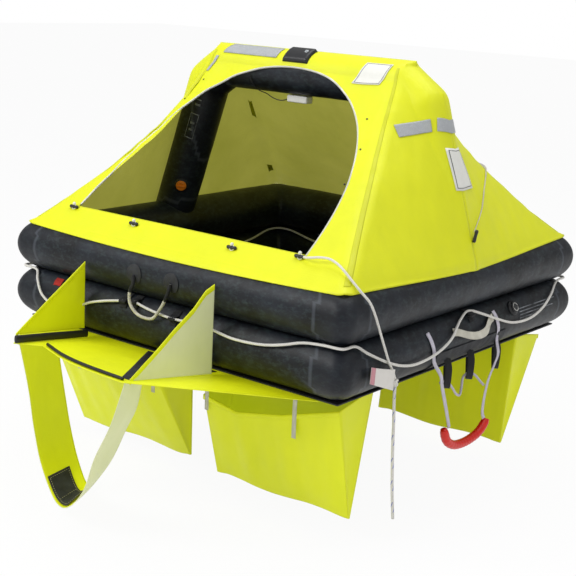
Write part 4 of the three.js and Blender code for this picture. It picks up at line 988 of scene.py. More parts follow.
piping_look = webbing("piping_white", (238, 238, 228), (214, 214, 198)).material
hem_look = coated_cloth("sill_hem", tone(226, 230, 8), tone(206, 212, 6)).material
door_x, door_z = door_loop(1400)
door_path = front_cloth(door_x, door_z)
door_path = smooth_path(door_path[::7], 620)
dressed(tube("door_edge", door_path, PIPING_R, 10, towards=(0, -1, 0)), piping_look, "door_piping")
sill_x = np.linspace(DOOR_CENTRE - DOOR_HALF + 0.004, DOOR_CENTRE + DOOR_HALF - 0.004, 220)
sill_path = front_cloth(sill_x, np.full(220, DOOR_SILL))
dressed(tube("sill_edge", sill_path, 0.0032, 10), hem_look)


# Patches, lamps and marks on the canopy

silver = reflective("silver_tape").material
patch_white = moulded("patch_white", (240, 240, 234), 0.5).material
seam_look = coated_cloth("seam_band", tone(214, 218, 6), tone(204, 208, 4)).material


def corner_grid(corners, rows, columns):
    """Points spread evenly over a four sided outline."""
    a, b, c, d = (np.array(corner) / 1000 for corner in corners)
    s = np.linspace(0, 1, rows)[:, None, None]
    t = np.linspace(0, 1, columns)[None, :, None]
    return mix(mix(a, b, s), mix(d, c, s), t)


def cloth_patch(name, place, corners, look, node, lift=0.0022, thickness=0.0009):
    """A thin patch glued on the canopy: a four sided grid laid on the cloth and raised."""
    flat = corner_grid(corners, 30, 12)
    grid = place(flat[..., 0], flat[..., 1])
    normals = outward(grid)
    piece = sewn(name, [grid + normals * (CANOPY_T + lift)], away_from=(0, 0, 0.3))
    thick(piece, thickness, 1)
    return dressed(piece, look, *([node] if node else []))


cloth_patch("roof_tape", roof_cloth, [(-412, -68), (-128, -68), (-124, -22), (-390, -22)], silver,
            "roof_reflector")
cloth_patch("ridge_tape", front_cloth, [(-472, 1000), (-456, 1000), (-428, 1062), (-444, 1062)], silver,
            "ridge_end_tape")
cloth_patch("number_patch", front_cloth, [(277, 1016), (404, 1018), (436, 1094), (312, 1092)], patch_white,
            "capacity_patch")
cloth_patch("end_tape_front", right_cloth, [(-184, 846), (-62, 866), (-56, 910), (-180, 888)], silver,
            "end_reflector_front")
cloth_patch("end_tape_rear", right_cloth, [(-49, 867), (45, 855), (40, 903), (-40, 914)], silver,
            "end_reflector_rear")
cloth_patch("end_patch", right_cloth, [(-33, 655), (122, 646), (133, 795), (-39, 808)], patch_white,
            "side_patch")
cloth_patch("back_tape_left", back_cloth, [(-540, 836), (-194, 866), (-184, 908), (-524, 876)], silver,
            "back_reflector_left")
cloth_patch("back_tape_right", back_cloth, [(-42, 848), (22, 852), (48, 906), (-14, 902)], silver,
            "back_reflector_right")

black_plastic = moulded("black_plastic", (30, 31, 34), 0.38).material
dark_ink = black_cloth("dark_ink", (34, 34, 36)).material
grey_ink = black_cloth("grey_ink", (84, 86, 84)).material


def bars_on(name, place, bars, look, lift=0.0034):
    """Plain printed bars on a patch: small four sided grids just above it, in one piece."""
    grids = []
    for corners in bars:
        flat = corner_grid(corners, 10, 6)
        grid = place(flat[..., 0], flat[..., 1])
        grids.append(grid + outward(grid) * (CANOPY_T + lift))
    piece = sewn(name, grids, away_from=(0, 0, 0.3))
    thick(piece, 0.0003, 1)
    return dressed(piece, look)


def rim_bars(corners, inset=0.05, width=0.016):
    """Four thin bars just inside the rim of a four sided outline."""
    a, b, c, d = (np.array(corner, float) for corner in corners)

    def spot(s, t):
        return tuple(mix(mix(a, b, s), mix(d, c, s), t))

    far, near = 1 - inset, inset
    runs = [(near, far, near, near + width), (near, far, far - width, far),
            (near, near + width, near, far), (far - width, far, near, far)]
    return [[spot(s0, t0), spot(s1, t0), spot(s1, t1), spot(s0, t1)] for s0, s1, t0, t1 in runs]


bars_on("number_patch_rim", front_cloth, rim_bars([(277, 1016), (404, 1018), (436, 1094), (312, 1092)]),
        dark_ink)
bars_on("end_patch_rim", right_cloth, rim_bars([(-33, 655), (122, 646), (133, 795), (-39, 808)]), grey_ink)

for number, (x, z) in enumerate([(421, 897), (466, 797), (491, 682), (-506, 884), (-456, 965)]):
    spot = front_cloth(np.array([x / 1000]), np.array([z / 1000]))[0]
    out = unit(spot - np.array([0, 0, 0.3]))
    stud = [(0.0002, 0.0058), (0.0022, 0.0056), (0.0036, 0.0046), (0.0040, 0.0030), (0.0040, 0.0020)]
    dressed(lathed(f"canopy_stud_{number + 1}", stud[::-1], spot, out, 20), black_plastic)

for number, (sign, back) in enumerate([(1, 1), (-1, 1), (1, -1), (-1, -1)]):
    rise = np.linspace(0.03, 0.985, 160)[:, None]
    around = END_SHARE + np.linspace(-0.0055, 0.0055, 7)[None]
    seam = cloth(around, rise, seed=11 if back > 0 else 29)
    swell = CANOPY_T + 0.0004 + 0.0003 * np.cos(np.linspace(-1.3, 1.3, 7))
    seam = seam + outward(seam) * swell[None, :, None]
    flip = np.array([sign, back, 1])
    piece = sewn(f"hip_seam_{number + 1}", [seam * flip], away_from=(0, 0, 0.3))
    thick(piece, 0.0005, -1)
    dressed(piece, seam_look)

base_flat = corner_grid([(-90, -74), (36, -74), (36, -16), (-90, -16)], 30, 16)
base_grid = roof_cloth(base_flat[..., 0], base_flat[..., 1])
base_up = outward(base_grid)
across = np.abs(np.linspace(-1, 1, 30))[:, None]
along = np.abs(np.linspace(-1, 1, 16))[None]
crest = 0.0125 * (1 - np.maximum(smooth(0.90, 1.0, across), smooth(0.84, 1.0, along))) + 0.0016
top = base_grid + base_up * (CANOPY_T + crest)[..., None]
low = base_grid + base_up * (CANOPY_T + 0.0006)
sides = [np.stack([top[0], low[0]]), np.stack([top[-1], low[-1]]),
         np.stack([top[:, 0], low[:, 0]]), np.stack([top[:, -1], low[:, -1]])]
lamp_pad = sewn("lamp_pad", [top, low, *sides])
dressed(lamp_pad, black_plastic, "roof_lamp_base")

clear_plastic = Finish("clear_dome", roughness=0.12, ior=1.45, alpha=0.55, coat_weight=0.6)
clear_plastic.set("Base Color", clear_plastic.blend(clear_plastic.noise(40) * 0.5, tone(214, 222, 226),
                                                    tone(180, 190, 196)))
clear_look = clear_plastic.material
dome_axis = (0, -math.sin(0.35), math.cos(0.35))
turn = np.linspace(0, math.pi / 2, 14)
dome_profile = [(0.0125, -0.012), (0.0125, 0.010)] + [
    (0.0125 * math.cos(a), 0.010 + 0.015 * math.sin(a)) for a in turn[1:-1]] + [(0.0006, 0.025)]
dressed(lathed("lamp_dome", dome_profile, (0.008, -0.044, 1.098), dome_axis, 40), clear_look,
        "roof_lamp_dome")


def block(name, low, high, radius=0.003, segments=4):
    """A moulded block: a box of six grids with rounded edges from a live bevel."""
    low, high = np.array(low), np.array(high)
    s = np.linspace(0, 1, 4)
    grids = []
    for axis in range(3):
        a, b = [k for k in range(3) if k != axis]
        for end in (low, high):
            grid = np.zeros((4, 4, 3))
            grid[..., axis] = end[axis]
            grid[..., a] = mix(low[a], high[a], s)[:, None]
            grid[..., b] = mix(low[b], high[b], s)[None]
            grids.append(grid)
    return bevelled(sewn(name, grids), radius, segments)


white_plastic = moulded("white_plastic", (236, 235, 228), 0.35).material
dressed(block("cabin_lamp_case", (-0.106, -0.0225, 0.904), (-0.004, 0.0225, 0.9335), 0.006), white_plastic,
        "cabin_lamp")
cable_path = smooth_path(np.array([
    (-107, 0, 920), (-124, -2, 910), (-150, -8, 905), (-182, -16, 912), (-210, -26, 928),
    (-232, -50, 941), (-246, -78, 970), (-250, -89.5, 998)]) / 1000, 120)
dressed(tube("lamp_cable", cable_path, 0.002, 8), black_plastic, "cabin_lamp_cable")


# Boarding ramp: floor, flaps, battens and panel

RAMP_FOLD = -0.785
RAMP_X = np.array([-0.770, -0.408, -0.330, -0.180, -0.056, 0.070, 0.200, 0.700])
RAMP_TIP = np.array([-0.785, -1.185, -1.112, -1.172, -1.204, -1.218, -1.225, -0.785])


def ramp_top(y):
    return -0.0003 + 0.1035 * np.maximum(RAMP_FOLD - y, 0)


def ramp_floor():
    """The ramp's cloth: for each x a strip from the root under the tube to the front edge."""
    x = np.unique(np.concatenate([np.linspace(-0.770, 0.700, 150), RAMP_X]))
    tip = np.interp(x, RAMP_X, RAMP_TIP)
    t = np.linspace(0, 1, 60)[:, None]
    y = np.where(t < 0.1, mix(-0.741, RAMP_FOLD, t / 0.1), mix(RAMP_FOLD, tip[None], (t - 0.1) / 0.9))
    xx = np.broadcast_to(x[None], y.shape)
    free = smooth(0.0, 0.08, RAMP_FOLD - y) * smooth(0.0, 0.05, y - tip[None])
    wave = ripple(np.stack([xx, y, y * 0], -1), 0.24, 41) * 0.0022 * free
    grid = np.stack([xx, y, ramp_top(y) + wave - 0.0004], -1)
    piece = surface("ramp_cloth", grid, u=np.linspace(0, 0.5, 60), v=x)
    thick(piece, 0.0024, -1, other_side=1)
    return piece


ramp = ramp_floor()
if ramp.data.polygons[0].normal.z < 0:
    ramp.data.flip_normals()
dressed(ramp, bag_look, "ramp_floor")
ramp.data.materials.append(pale_look)

black_rubber = moulded("black_rubber", (25, 26, 29), 0.5, coat_roughness=0.3).material


def flap(name, tip_y, foot, high, foot_x, lean, faces_out):
    """A side flap of the ramp: rows out from the tube, each from the ramp up to the flap's edge.

    It leans by a share that grows towards the tip and sags a little between its edges.
    """
    out = np.concatenate([np.linspace(0, 0.10, 12), np.linspace(0.10, 0.985, 80)[1:]])[:, None]
    t = np.linspace(0, 1, 50)[None]
    y = mix(-0.843, tip_y, out)
    bottom = ramp_top(y) + foot
    top = np.interp(-y, [-p[0] for p in high], [p[1] for p in high])
    z = mix(bottom, np.maximum(top, bottom + 0.0015), t)
    reach = (y + 0.843) / (-1.185 + 0.843)
    sag = np.sin(math.pi * np.clip(t, 0, 1)) * np.sin(math.pi * np.clip(reach, 0, 1))
    x = foot_x + 0.0015 + lean * reach * np.ones_like(t)
    folds = ripple(np.stack([x * 0, y * np.ones_like(t), z], -1), 0.16, 52) * 0.0016
    x = x + folds * smooth(0, 0.15, out) * smooth(0, 0.1, t) + sag * 0.004 * np.sign(lean)
    grid = np.stack([x, y * np.ones_like(t), z], -1)
    piece = surface(name, grid)
    if np.sign(piece.data.polygons[900].normal.x) != faces_out:
        piece.data.flip_normals()
    thick(piece, 0.0022, 0, other_side=1)
    return piece, grid


left_high = [(-0.843, 0.300), (-1.179, 0.0712)]
left_flap, left_grid = flap("left_wing", -1.179, 0.0306, left_high, -0.402, -0.0072, -1)
dressed(left_flap, pale_look, "ramp_left_flap")
left_flap.data.materials.append(bag_look)
right_high = [(-0.843, 0.336), (-0.880, 0.318), (-0.930, 0.262), (-1.010, 0.196), (-1.100, 0.118),
              (-1.196, 0.0428)]
right_flap, right_grid = flap("right_wing", -1.196, 0.0008, right_high, 0.262, -0.060, 1)
dressed(right_flap, pale_look, "ramp_right_flap")
right_flap.data.materials.append(bag_look)


def edge_band(name, grid, width, lift, look):
    """A folded hem along the top edge of a flap: a flat band over both its faces."""
    edge = grid[:, -1]
    below = grid[:, -6]
    down = unit(below - edge)
    path = edge + down * (width / 2 - 0.001)
    piece = surface(name, np.stack([path + down * s * width for s in np.linspace(-0.5, 0.5, 4)], 1))
    thick(piece, 0.0022 + lift * 2, 0)
    return dressed(piece, look)


edge_band("left_wing_hem", left_grid, 0.016, 0.0006, bag_look)
edge_band("right_wing_hem", right_grid, 0.020, 0.0006, bag_look)

batten_path = np.array([(-0.4000, -1.182, 0), (-0.3965, -1.12, 0), (-0.3900, -1.02, 0), (-0.3800, -0.93, 0),
                        (-0.3745, -0.851, 0)])
batten_path = smooth_path(batten_path, 90)
batten_r = mix(0.0078, 0.0052, np.linspace(0, 1, 90))
batten_path[:, 2] = ramp_top(batten_path[:, 1]) + 0.0005 + 0.0150
batten_ring = tube_points(batten_path, batten_r, 22)
centre = batten_path[:, None]
batten_ring[..., 2] = centre[..., 2] + (batten_ring[..., 2] - centre[..., 2]) * (0.0148 / batten_r)[:, None]
dressed(surface("left_stiffener", batten_ring, ring_cols=True, caps=True), black_rubber, "ramp_left_batten")
front_path = np.array([(-318, -1100), (-180, -1156), (-56, -1186), (70, -1200), (186, -1206)]) / 1000
front_path = np.column_stack([front_path, ramp_top(front_path[:, 1]) + 0.0066])
front_path = smooth_path(front_path, 160)
dressed(tube("front_stiffener", front_path, 0.0060, 16), black_rubber, "ramp_front_batten")

nonslip = black_cloth("nonslip_panel", (22, 23, 27)).material
panel_s = np.linspace(0, 1, 30)[:, None]
panel_t = np.linspace(0, 1, 24)[None]
panel_x = mix(mix(0.158, 0.198, panel_t), mix(-0.095, 0.252, panel_t), 1 - panel_s)
panel_y = mix(-1.186, -0.800, 1 - panel_s) + 0 * panel_t
panel_grid = np.stack([panel_x, panel_y, ramp_top(panel_y) + 0.0024
                       + ripple(np.stack([panel_x, panel_y, panel_y * 0], -1), 0.24, 41) * 0.0022
                       * smooth(0, 0.08, RAMP_FOLD - panel_y) * 0.4], -1)
panel_piece = surface("ramp_nonslip", panel_grid)
if panel_piece.data.polygons[200].normal.z < 0:
    panel_piece.data.flip_normals()
thick(panel_piece, 0.0010, -1)
dressed(panel_piece, nonslip, "ramp_panel")


# Stirrup: a wide band in a loop below the ramp, with a stitched tread

STIRRUP_OUTER = smooth_path(np.array([
    (-398, -1172, 60), (-385, -1130, -160), (-370, -1120, -300), (-330, -1120, -430), (-220, -1150, -530),
    (-60, -1220, -490), (50, -1250, -380), (100, -1250, -250), (160, -1235, -115),
    (198, -1200, 60)]) / 1000, 241)
STIRRUP_INNER = smooth_path(np.array([
    (-396, -990, 50), (-385, -950, -220), (-365, -940, -340), (-310, -950, -455), (-200, -1000, -510),
    (-80, -1060, -430), (28, -1100, -320), (110, -1110, -175), (160, -1110, -80),
    (190, -1110, 60)]) / 1000, 241)


def band(start, end, low, high, rows, columns):
    """A part of the stirrup between two shares along it and two shares across it."""
    share = np.linspace(start, end, rows)
    at = share * 240
    a = np.stack([np.interp(at, np.arange(241), STIRRUP_OUTER[:, k]) for k in range(3)], 1)
    b = np.stack([np.interp(at, np.arange(241), STIRRUP_INNER[:, k]) for k in range(3)], 1)
    return mix(a[:, None], b[:, None], np.linspace(low, high, columns)[None, :, None])


stirrup_grid = band(0, 1, 0, 1, 260, 22)
run = np.linspace(0, 1, 260)[:, None]
side = np.linspace(-1, 1, 22)[None]
stirrup_in = outward(stirrup_grid, (-0.10, -1.10, -0.20))
cup = (1 - side ** 2) * 0.004 * np.sin(run * math.pi)
stirrup_grid = stirrup_grid + stirrup_in * (cup + ripple(stirrup_grid, 0.3, 61) * 0.002
                                            * np.sin(run * math.pi))[..., None]
ceiling = ramp_top(stirrup_grid[..., 1]) - 0.0044
stirrup_grid[..., 2] = np.minimum(stirrup_grid[..., 2], ceiling)
stirrup = surface("stirrup_band", stirrup_grid)
middle_face = stirrup.data.polygons[len(stirrup.data.polygons) // 2]
if (Vector((-0.10, -1.10, -0.20)) - middle_face.center).dot(middle_face.normal) > 0:
    stirrup.data.flip_normals()
thick(stirrup, 0.0024, 0, other_side=1)
dressed(stirrup, pale_look, "stirrup_strap")
stirrup.data.materials.append(bag_look)
tread_grid = band(0.38, 0.55, 0.06, 0.70, 50, 30)
tread_in = -outward(tread_grid, (-0.10, -1.10, -0.20))
tread_run = np.linspace(0, 1, 50)[:, None]
tread_side = np.linspace(0, 1, 30)[None]
edge_gap = np.minimum(np.minimum(tread_run, 1 - tread_run) * 0.26,
                      np.minimum(tread_side, 1 - tread_side) * 0.12)
quilt = 0.0016 * smooth(0.004, 0.016, edge_gap) * (0.6 + 0.4 * np.abs(np.sin(tread_run * math.pi * 2)))
tread_grid = tread_grid + tread_in * (0.0052 + quilt)[..., None]
tread = surface("stirrup_pad", tread_grid)
tread_face = tread.data.polygons[len(tread.data.polygons) // 2]
if (Vector((-0.10, -1.10, -0.20)) - tread_face.center).dot(tread_face.normal) < 0:
    tread.data.flip_normals()
thick(tread, 0.0018, -1)
dressed(tread, nonslip, "stirrup_tread")
stitch_look = webbing("stitching", (196, 190, 150), (160, 154, 110)).material


def stitches(name, path, normal, look, length=0.006, gap=0.004, radius=0.0007):
    """A row of stitches on a path: short rounded bars, every one a small closed grid."""
    total = path_length(path)
    count = max(int(total / (length + gap)), 1)
    run = np.concatenate([[0], np.cumsum(np.linalg.norm(np.diff(path, axis=0), axis=1))])
    starts = (np.arange(count) + 0.2) * total / count
    along = starts[:, None] + np.linspace(0, length, 4)[None]
    place = np.stack([np.interp(along, run, path[:, k]) for k in range(3)], -1)
    ahead = unit(place[:, -1] - place[:, 0])
    lift = unit(np.broadcast_to(np.asarray(normal, float), ahead.shape))
    across = unit(np.cross(ahead, lift))
    angle = np.arange(6) / 6 * 2 * math.pi
    size = np.array([0.5, 1, 1, 0.5]) * radius
    round_ = (across[:, None, None] * np.cos(angle)[:, None]
              + lift[:, None, None] * np.sin(angle)[:, None] * 0.8)
    rings = place[:, :, None] + round_ * size[None, :, None, None]
    faces, vertices = [], rings.reshape(-1, 3)
    base = np.arange(count)[:, None] * 24
    quads = [(r * 6 + j, r * 6 + (j + 1) % 6, (r + 1) * 6 + (j + 1) % 6, (r + 1) * 6 + j)
             for r in range(3) for j in range(6)]
    for quad in quads:
        faces += (base + np.array(quad)[None]).tolist()
    ends = [tuple(range(5, -1, -1)), tuple(range(18, 24))]
    for end in ends:
        faces += (base + np.array(end)[None]).tolist()
    corners = sum(len(face) for face in faces)
    piece = finished(name, vertices, faces, np.zeros((corners, 2)))
    work = bmesh.new()
    work.from_mesh(piece.data)
    bmesh.ops.recalc_face_normals(work, faces=work.faces)
    work.to_mesh(piece.data)
    work.free()
    return dressed(piece, look)


inset = [tread_grid[2, 2:-2], tread_grid[2:-2, -3], tread_grid[-3, -3:1:-1], tread_grid[-3:1:-1, 2]]
tread_line = np.concatenate(inset) + np.array([0, 0, 0.0006])
stitches("tread_stitches", tread_line, tread_in.mean((0, 1)), stitch_look, radius=0.0009)
stitches("tread_middle_stitches", tread_grid[25, 2:-2] + np.array([0, 0, 0.0006]), tread_in.mean((0, 1)),
         stitch_look, radius=0.0009)


# Water pockets: four open bags under the floor

POCKET_X = np.array([0.120, 0.287, 0.502, 0.750])
POCKET_LIP = np.array([0.133, 0.161, 0.117, 0.040])


def pocket(name, node, sign_x, sign_y, bottom_y, depth, seed):
    """An open bag: a front wall, a back wall from the floor and two three cornered sides.

    Each wall runs straight down to the bottom, bellies out by half a sine wave and hangs in
    soft upright folds that grow towards the free edges.
    """
    s = np.linspace(0, 1, 90)[:, None]
    t = np.linspace(0, 1, 60)[None]
    x = mix(0.1215, 0.7485, s) + 0 * t
    lip = np.interp(x, POCKET_X, POCKET_LIP)
    hang = np.sin(s * 23 + seed) * 0.6 + np.sin(s * 41 + seed * 2) * 0.4
    ends = smooth(0, 0.10, s) * smooth(0, 0.10, 1 - s)
    belly = np.sin(math.pi * t) * 0.010 * ends
    fold = hang * 0.0045 * np.sin(math.pi * np.clip(t * 0.9 + 0.05, 0, 1)) * ends
    hem = depth - 0.006 * np.sin(s * 9 + seed) * ends * smooth(0.8, 1, t)
    front = np.stack([x, mix(0.7205, bottom_y + 0.004, t) + belly + fold, mix(-lip, -hem, t)], -1)
    back = np.stack([x, mix(0.5185, bottom_y - 0.004, t) - belly * 0.5 + fold * 0.7,
                     mix(-0.0012, -hem, t)], -1)
    base = np.stack([front[:, -1], back[:, -1]])
    w = np.linspace(0, 1, 12)[:, None, None]
    near = mix(front[None, 0], back[None, 0], w)
    far = mix(front[None, -1], back[None, -1], w)
    tuck = (np.sin(w * math.pi) * np.sin(t[..., None] * math.pi) * 0.012)
    near = near + np.array([1.0, 0, 0]) * tuck
    far = far - np.array([1.0, 0, 0]) * tuck
    flip = np.array([sign_x, sign_y, 1])
    grids = [g * flip for g in (front, back, base, near, far)]
    piece = sewn(name, grids, away_from=(sign_x * 0.43, sign_y * 0.57, -0.2), weld=2e-4)
    thick(piece, 0.0020, -1, other_side=1)
    dressed(piece, bag_look, node)
    piece.data.materials.append(bag_inner_look)
    lip_row = (front[:, 0] + np.array([0, 0.0012, -0.009])) * flip
    hem_piece = strap(f"{name}_hem", lip_row, (0, 0, 1), 0.018, 0.0032, 3)
    dressed(hem_piece, bag_look)
    for along in (0.140, 0.556):
        z = -np.linspace(0.0008, 0.190, 40)
        wave = np.sin(np.linspace(0, math.pi, 40)) * 0.0015
        path = np.stack([np.full(40, along), 0.7224 + wave, z], 1) * flip
        tape = strap(f"{name}_tape_{'near' if along < 0.3 else 'far'}", path, (1, 0, 0), 0.018, 0.0016, 4)
        dressed(tape, tape_look)
    return piece


tape_look = webbing("pocket_tape", (224, 222, 210), (190, 188, 176)).material
pocket("bag_front_right", "water_pocket_front_right", 1, -1, 0.622, 0.470, 1)
pocket("bag_front_left", "water_pocket_front_left", -1, -1, 0.512, 0.500, 4)
pocket("bag_back_right", "water_pocket_back_right", 1, 1, 0.470, 0.470, 7)
pocket("bag_back_left", "water_pocket_back_left", -1, 1, 0.470, 0.470, 9)


# Ladder, its sleeve with slings, and the right handle

lilac_webbing = webbing("lilac_webbing", (226, 222, 232), (196, 190, 210)).material
grab_webbing = webbing("grab_webbing", (232, 228, 214), (188, 184, 168)).material
black_webbing = webbing("black_webbing", (34, 35, 39), (20, 21, 24)).material
red_plastic = moulded("red_plastic", (228, 30, 10), 0.36).material


def beside_tube(z, lift=0.0):
    return TUBE_HALF + float(beside(z, TUBE_R + 0.0003 + 0.0015 + lift))


def ladder_side(name, node, points):
    path = [(beside_tube(z / 1000, 0.0012) + off / 1000 if z > 20 else 0.860, y / 1000, z / 1000)
            for z, y, off in points]
    path = smooth_path(np.array(path), 150)
    dressed(strap(name, path, (0, 1, 0.2), 0.018, 0.0028, 5), lilac_webbing, node)


ladder_side("ladder_side_left", "ladder_webbing_left", [
    (176, -306, 0), (150, -300, 0), (110, -286, 0), (60, -268, 6), (10, -252, 16), (-30, -239, 22),
    (-130, -196, 22), (-212, -163, 22)])
ladder_side("ladder_side_right", "ladder_webbing_right", [
    (176, 166, 0), (150, 174, 0), (110, 184, 0), (60, 190, 6), (10, 168, 16), (-30, 146, 22), (-80, 110, 22),
    (-160, 86, 22), (-214, 84, 22), (-240, 98, 22)])
step_path = smooth_path(np.array([
    (860, -200, -210), (860, -195, -222), (860, -172, -262), (860, -125, -290), (860, -63, -301),
    (860, 10, -299), (860, 72, -284), (860, 112, -255), (860, 118, -246)]) / 1000, 120)
step_r = 0.017 - 0.004 * np.exp(-(np.linspace(0, 1, 120) / 0.03) ** 2) - 0.004 * np.exp(
    -((1 - np.linspace(0, 1, 120)) / 0.03) ** 2)
step_r = step_r + 0.0008 * np.sin(np.linspace(0, 1, 120) * 60) ** 8
dressed(tube("ladder_tread", step_path, step_r, 28), red_plastic, "ladder_step")
rung_path = smooth_path(np.array([
    (784, -130, -62), (800, -105, -58), (812, -82, -84), (812, -50, -116), (808, -14, -130), (796, 16, -112),
    (788, 40, -72), (800, 60, -58), (814, 80, -68), (832, 94, -92), (849, 97, -106)]) / 1000, 160)
lilac_rope = rope("lilac_rope", (224, 218, 230), (176, 168, 190)).material
dressed(tube("ladder_line", rung_path, 0.0048, 10, towards=(1, 0.2, 0.1)), lilac_rope, "ladder_rung")

sleeve_turn = np.radians(np.linspace(-82.5, -9.9, 60))[:, None]
sleeve_y = np.linspace(-0.254, 0.254, 150)[None]
sleeve_r = TUBE_R + 0.0010 + 0 * sleeve_y + 0 * sleeve_turn
sleeve_base = np.stack([TUBE_HALF + sleeve_r * np.cos(sleeve_turn), sleeve_y + 0 * sleeve_turn,
                        LOWER_Z + sleeve_r * np.sin(sleeve_turn)], -1)
sleeve_wrinkle = (np.abs(ripple(sleeve_base * np.array([0.6, 1, 0.6]), 0.07, 71)) * 0.0012
                  * smooth(0, 0.06, 0.254 - np.abs(sleeve_y)))
sleeve_out = np.stack([np.cos(sleeve_turn), 0 * sleeve_turn, np.sin(sleeve_turn)], -1)
sleeve_grid = sleeve_base + sleeve_out * sleeve_wrinkle[..., None]
sleeve = surface("ladder_pouch", sleeve_grid)
if sleeve.data.polygons[3000].normal.x < 0:
    sleeve.data.flip_normals()
thick(sleeve, 0.0016, 1)
black_cloth_look = black_cloth("black_cloth").material
dressed(sleeve, black_cloth_look, "ladder_sleeve")
for number, y in enumerate((-155, 10, 212)):
    path = np.array([(826, y - 6, 52), (832, y, 20), (824, y + 16, -30), (808, y + 38, -74),
                     (800, y + 50, -83), (792, y + 62, -74), (776, y + 84, -30), (766, y + 98, 2)]) / 1000
    path = smooth_path(path, 90)
    sling = strap(f"pouch_sling_{number + 1}", path, (0.83, 0.56, 0), 0.026, 0.0028, 5)
    dressed(sling, black_webbing)

handle_route = [(0.150, 0, -142), (0.146, 0, -116), (0.128, 0.018, -60), (0.119, 0.022, 0),
                (0.124, 0.018, 60), (0.150, 0.002, 122), (0.156, 0, 150)]
handle_path = smooth_path(np.array([(beside_tube(z, lift), y / 1000, z) for z, lift, y in handle_route]), 110)
dressed(strap("right_grab_strap", handle_path, (-0.4, 0, 0.92), 0.030, 0.0028, 7), grab_webbing,
        "side_handle")


# Front handle, its patches, pull tab and lifeline loops

end_y = -0.8478
grip = np.array([
    (-0.139, end_y + 0.006, 0.296), (-0.134, end_y - 0.001, 0.266), (-0.149, -0.851, 0.230),
    (-0.144, -0.852, 0.187), (-0.114, -0.852, 0.158), (-0.070, -0.853, 0.148), (-0.026, -0.852, 0.154),
    (0.008, -0.851, 0.194), (0.030, -0.850, 0.230), (0.046, end_y - 0.001, 0.266),
    (0.050, end_y + 0.006, 0.296)])
grip_path = smooth_path(grip, 150)
dressed(tube("front_grab_line", grip_path, 0.006, 14, towards=(0, 1, 0)), grab_webbing, "front_handle")
for number, part in enumerate((slice(0, 26), slice(124, 150))):
    root = tube(f"grab_line_root_{number + 1}", grip_path[part], 0.0070, 14, towards=(0, 1, 0))
    dressed(root, black_webbing)


def tube_pad(name, node, centre_x, centre_z, radius, look, thickness=0.0014, reach=0.0004):
    """A round patch glued on the front of the upper tube."""
    r = np.linspace(0.02, 1, 16)[:, None]
    a = np.arange(56)[None] / 56 * 2 * math.pi
    x = centre_x + radius * r * np.cos(a)
    rise = radius * r * np.sin(a) + centre_z - UPPER_Z
    y = -(TUBE_HALF + np.sqrt(np.maximum((TUBE_R + reach) ** 2 - rise ** 2, 0)))
    grid = np.stack([x, y, UPPER_Z + rise], -1)
    piece = surface(name, grid, ring_cols=True)
    if piece.data.polygons[100].normal.y > 0:
        piece.data.flip_normals()
    thick(piece, thickness, 1)
    return dressed(piece, look, *([node] if node else []))


tube_pad("grab_pad_left", "front_handle_patch_left", -0.139, 0.299, 0.037, black_cloth_look)
tube_pad("grab_pad_right", "front_handle_patch_right", 0.050, 0.299, 0.037, black_cloth_look)

tab_s = np.linspace(0, 1, 24)[:, None]
tab_t = np.linspace(0, 1, 20)[None]
tab_x = mix(-0.602, -0.561, tab_s) + 0 * tab_t
tab_z = mix(0.168, 0.192, tab_t) + 0 * tab_s
tab_lift = TUBE_R + 0.0008 + 0.0012 * np.sin(tab_t * math.pi)
tab_y = -(TUBE_HALF + np.sqrt(np.maximum(tab_lift ** 2 - (tab_z - LOWER_Z) ** 2, 0)))
tab = surface("red_tab", np.stack([tab_x, tab_y, tab_z], -1))
if tab.data.polygons[100].normal.y > 0:
    tab.data.flip_normals()
thick(tab, 0.0016, 1)
dressed(tab, webbing("red_webbing", (196, 44, 30), (160, 30, 22)).material, "pull_tab")


def becket(name, side, outward_sign, along, z):
    """A webbing loop that holds the lifeline on its tube: a band over the rope and two flat ends."""
    reach = np.array([0.0020, 0.0022, 0.0030, 0.0140, 0.0190, 0.0140, 0.0030, 0.0022, 0.0020])
    step = np.array([-0.026, -0.016, -0.0085, -0.0075, 0, 0.0075, 0.0085, 0.016, 0.026])
    t = np.linspace(0, 8, 40)
    lift = np.interp(t, np.arange(9), reach)
    rise = np.interp(t, np.arange(9), step) + z
    points = []
    for up, off in zip(rise, lift):
        centre_z = LOWER_Z
        high = min(max(up, centre_z - TUBE_R), JOINT_Z - 0.0008)
        out = TUBE_HALF + outward_sign * math.sqrt(max((TUBE_R + off) ** 2 - (high - centre_z) ** 2, 0))
        points.append((*SIDE_TURNS[side](along, out), high))
    across = SIDE_TURNS[side](1, 0)
    piece = strap(name, np.array(points), (*across, 0), 0.034, 0.0016, 5)
    return dressed(piece, black_webbing)


places = [(0, 1, -0.150, 0.188), (0, 1, 0.060, 0.168), (0, 1, -0.205, 0.182)]
places += [(side, 1, 0.0, 0.190) for side in (1, 2, 3)]
for number, (side, sign, along, z) in enumerate(places):
    becket(f"rope_loop_{number + 1}", side, sign, along, z)


# Valves and their caps

orange_plastic = moulded("orange_plastic", (246, 138, 22), 0.36).material
ARCH_VALVE = np.array([-0.6347, -0.0674, 0.4903])
ARCH_VALVE_OUT = unit(np.array([0.6105, -0.766, -0.2013]))
SIDE_VALVE = np.array([0.8259, 0.318, 0.1625])
SIDE_VALVE_OUT = np.array([0.866, 0, 0.5])
flange_profile = [(0.0302, -0.008), (0.0302, 0.0010), (0.0288, 0.0036), (0.0262, 0.0050), (0.0240, 0.0052),
                  (0.0236, 0.0078), (0.0226, 0.0080), (0.0010, 0.0080)]
cap_profile = [(0.0010, 0.0083), (0.0222, 0.0083), (0.0229, 0.0092), (0.0226, 0.0118), (0.0214, 0.0142),
               (0.0196, 0.0152), (0.0100, 0.0155), (0.0010, 0.0155)]


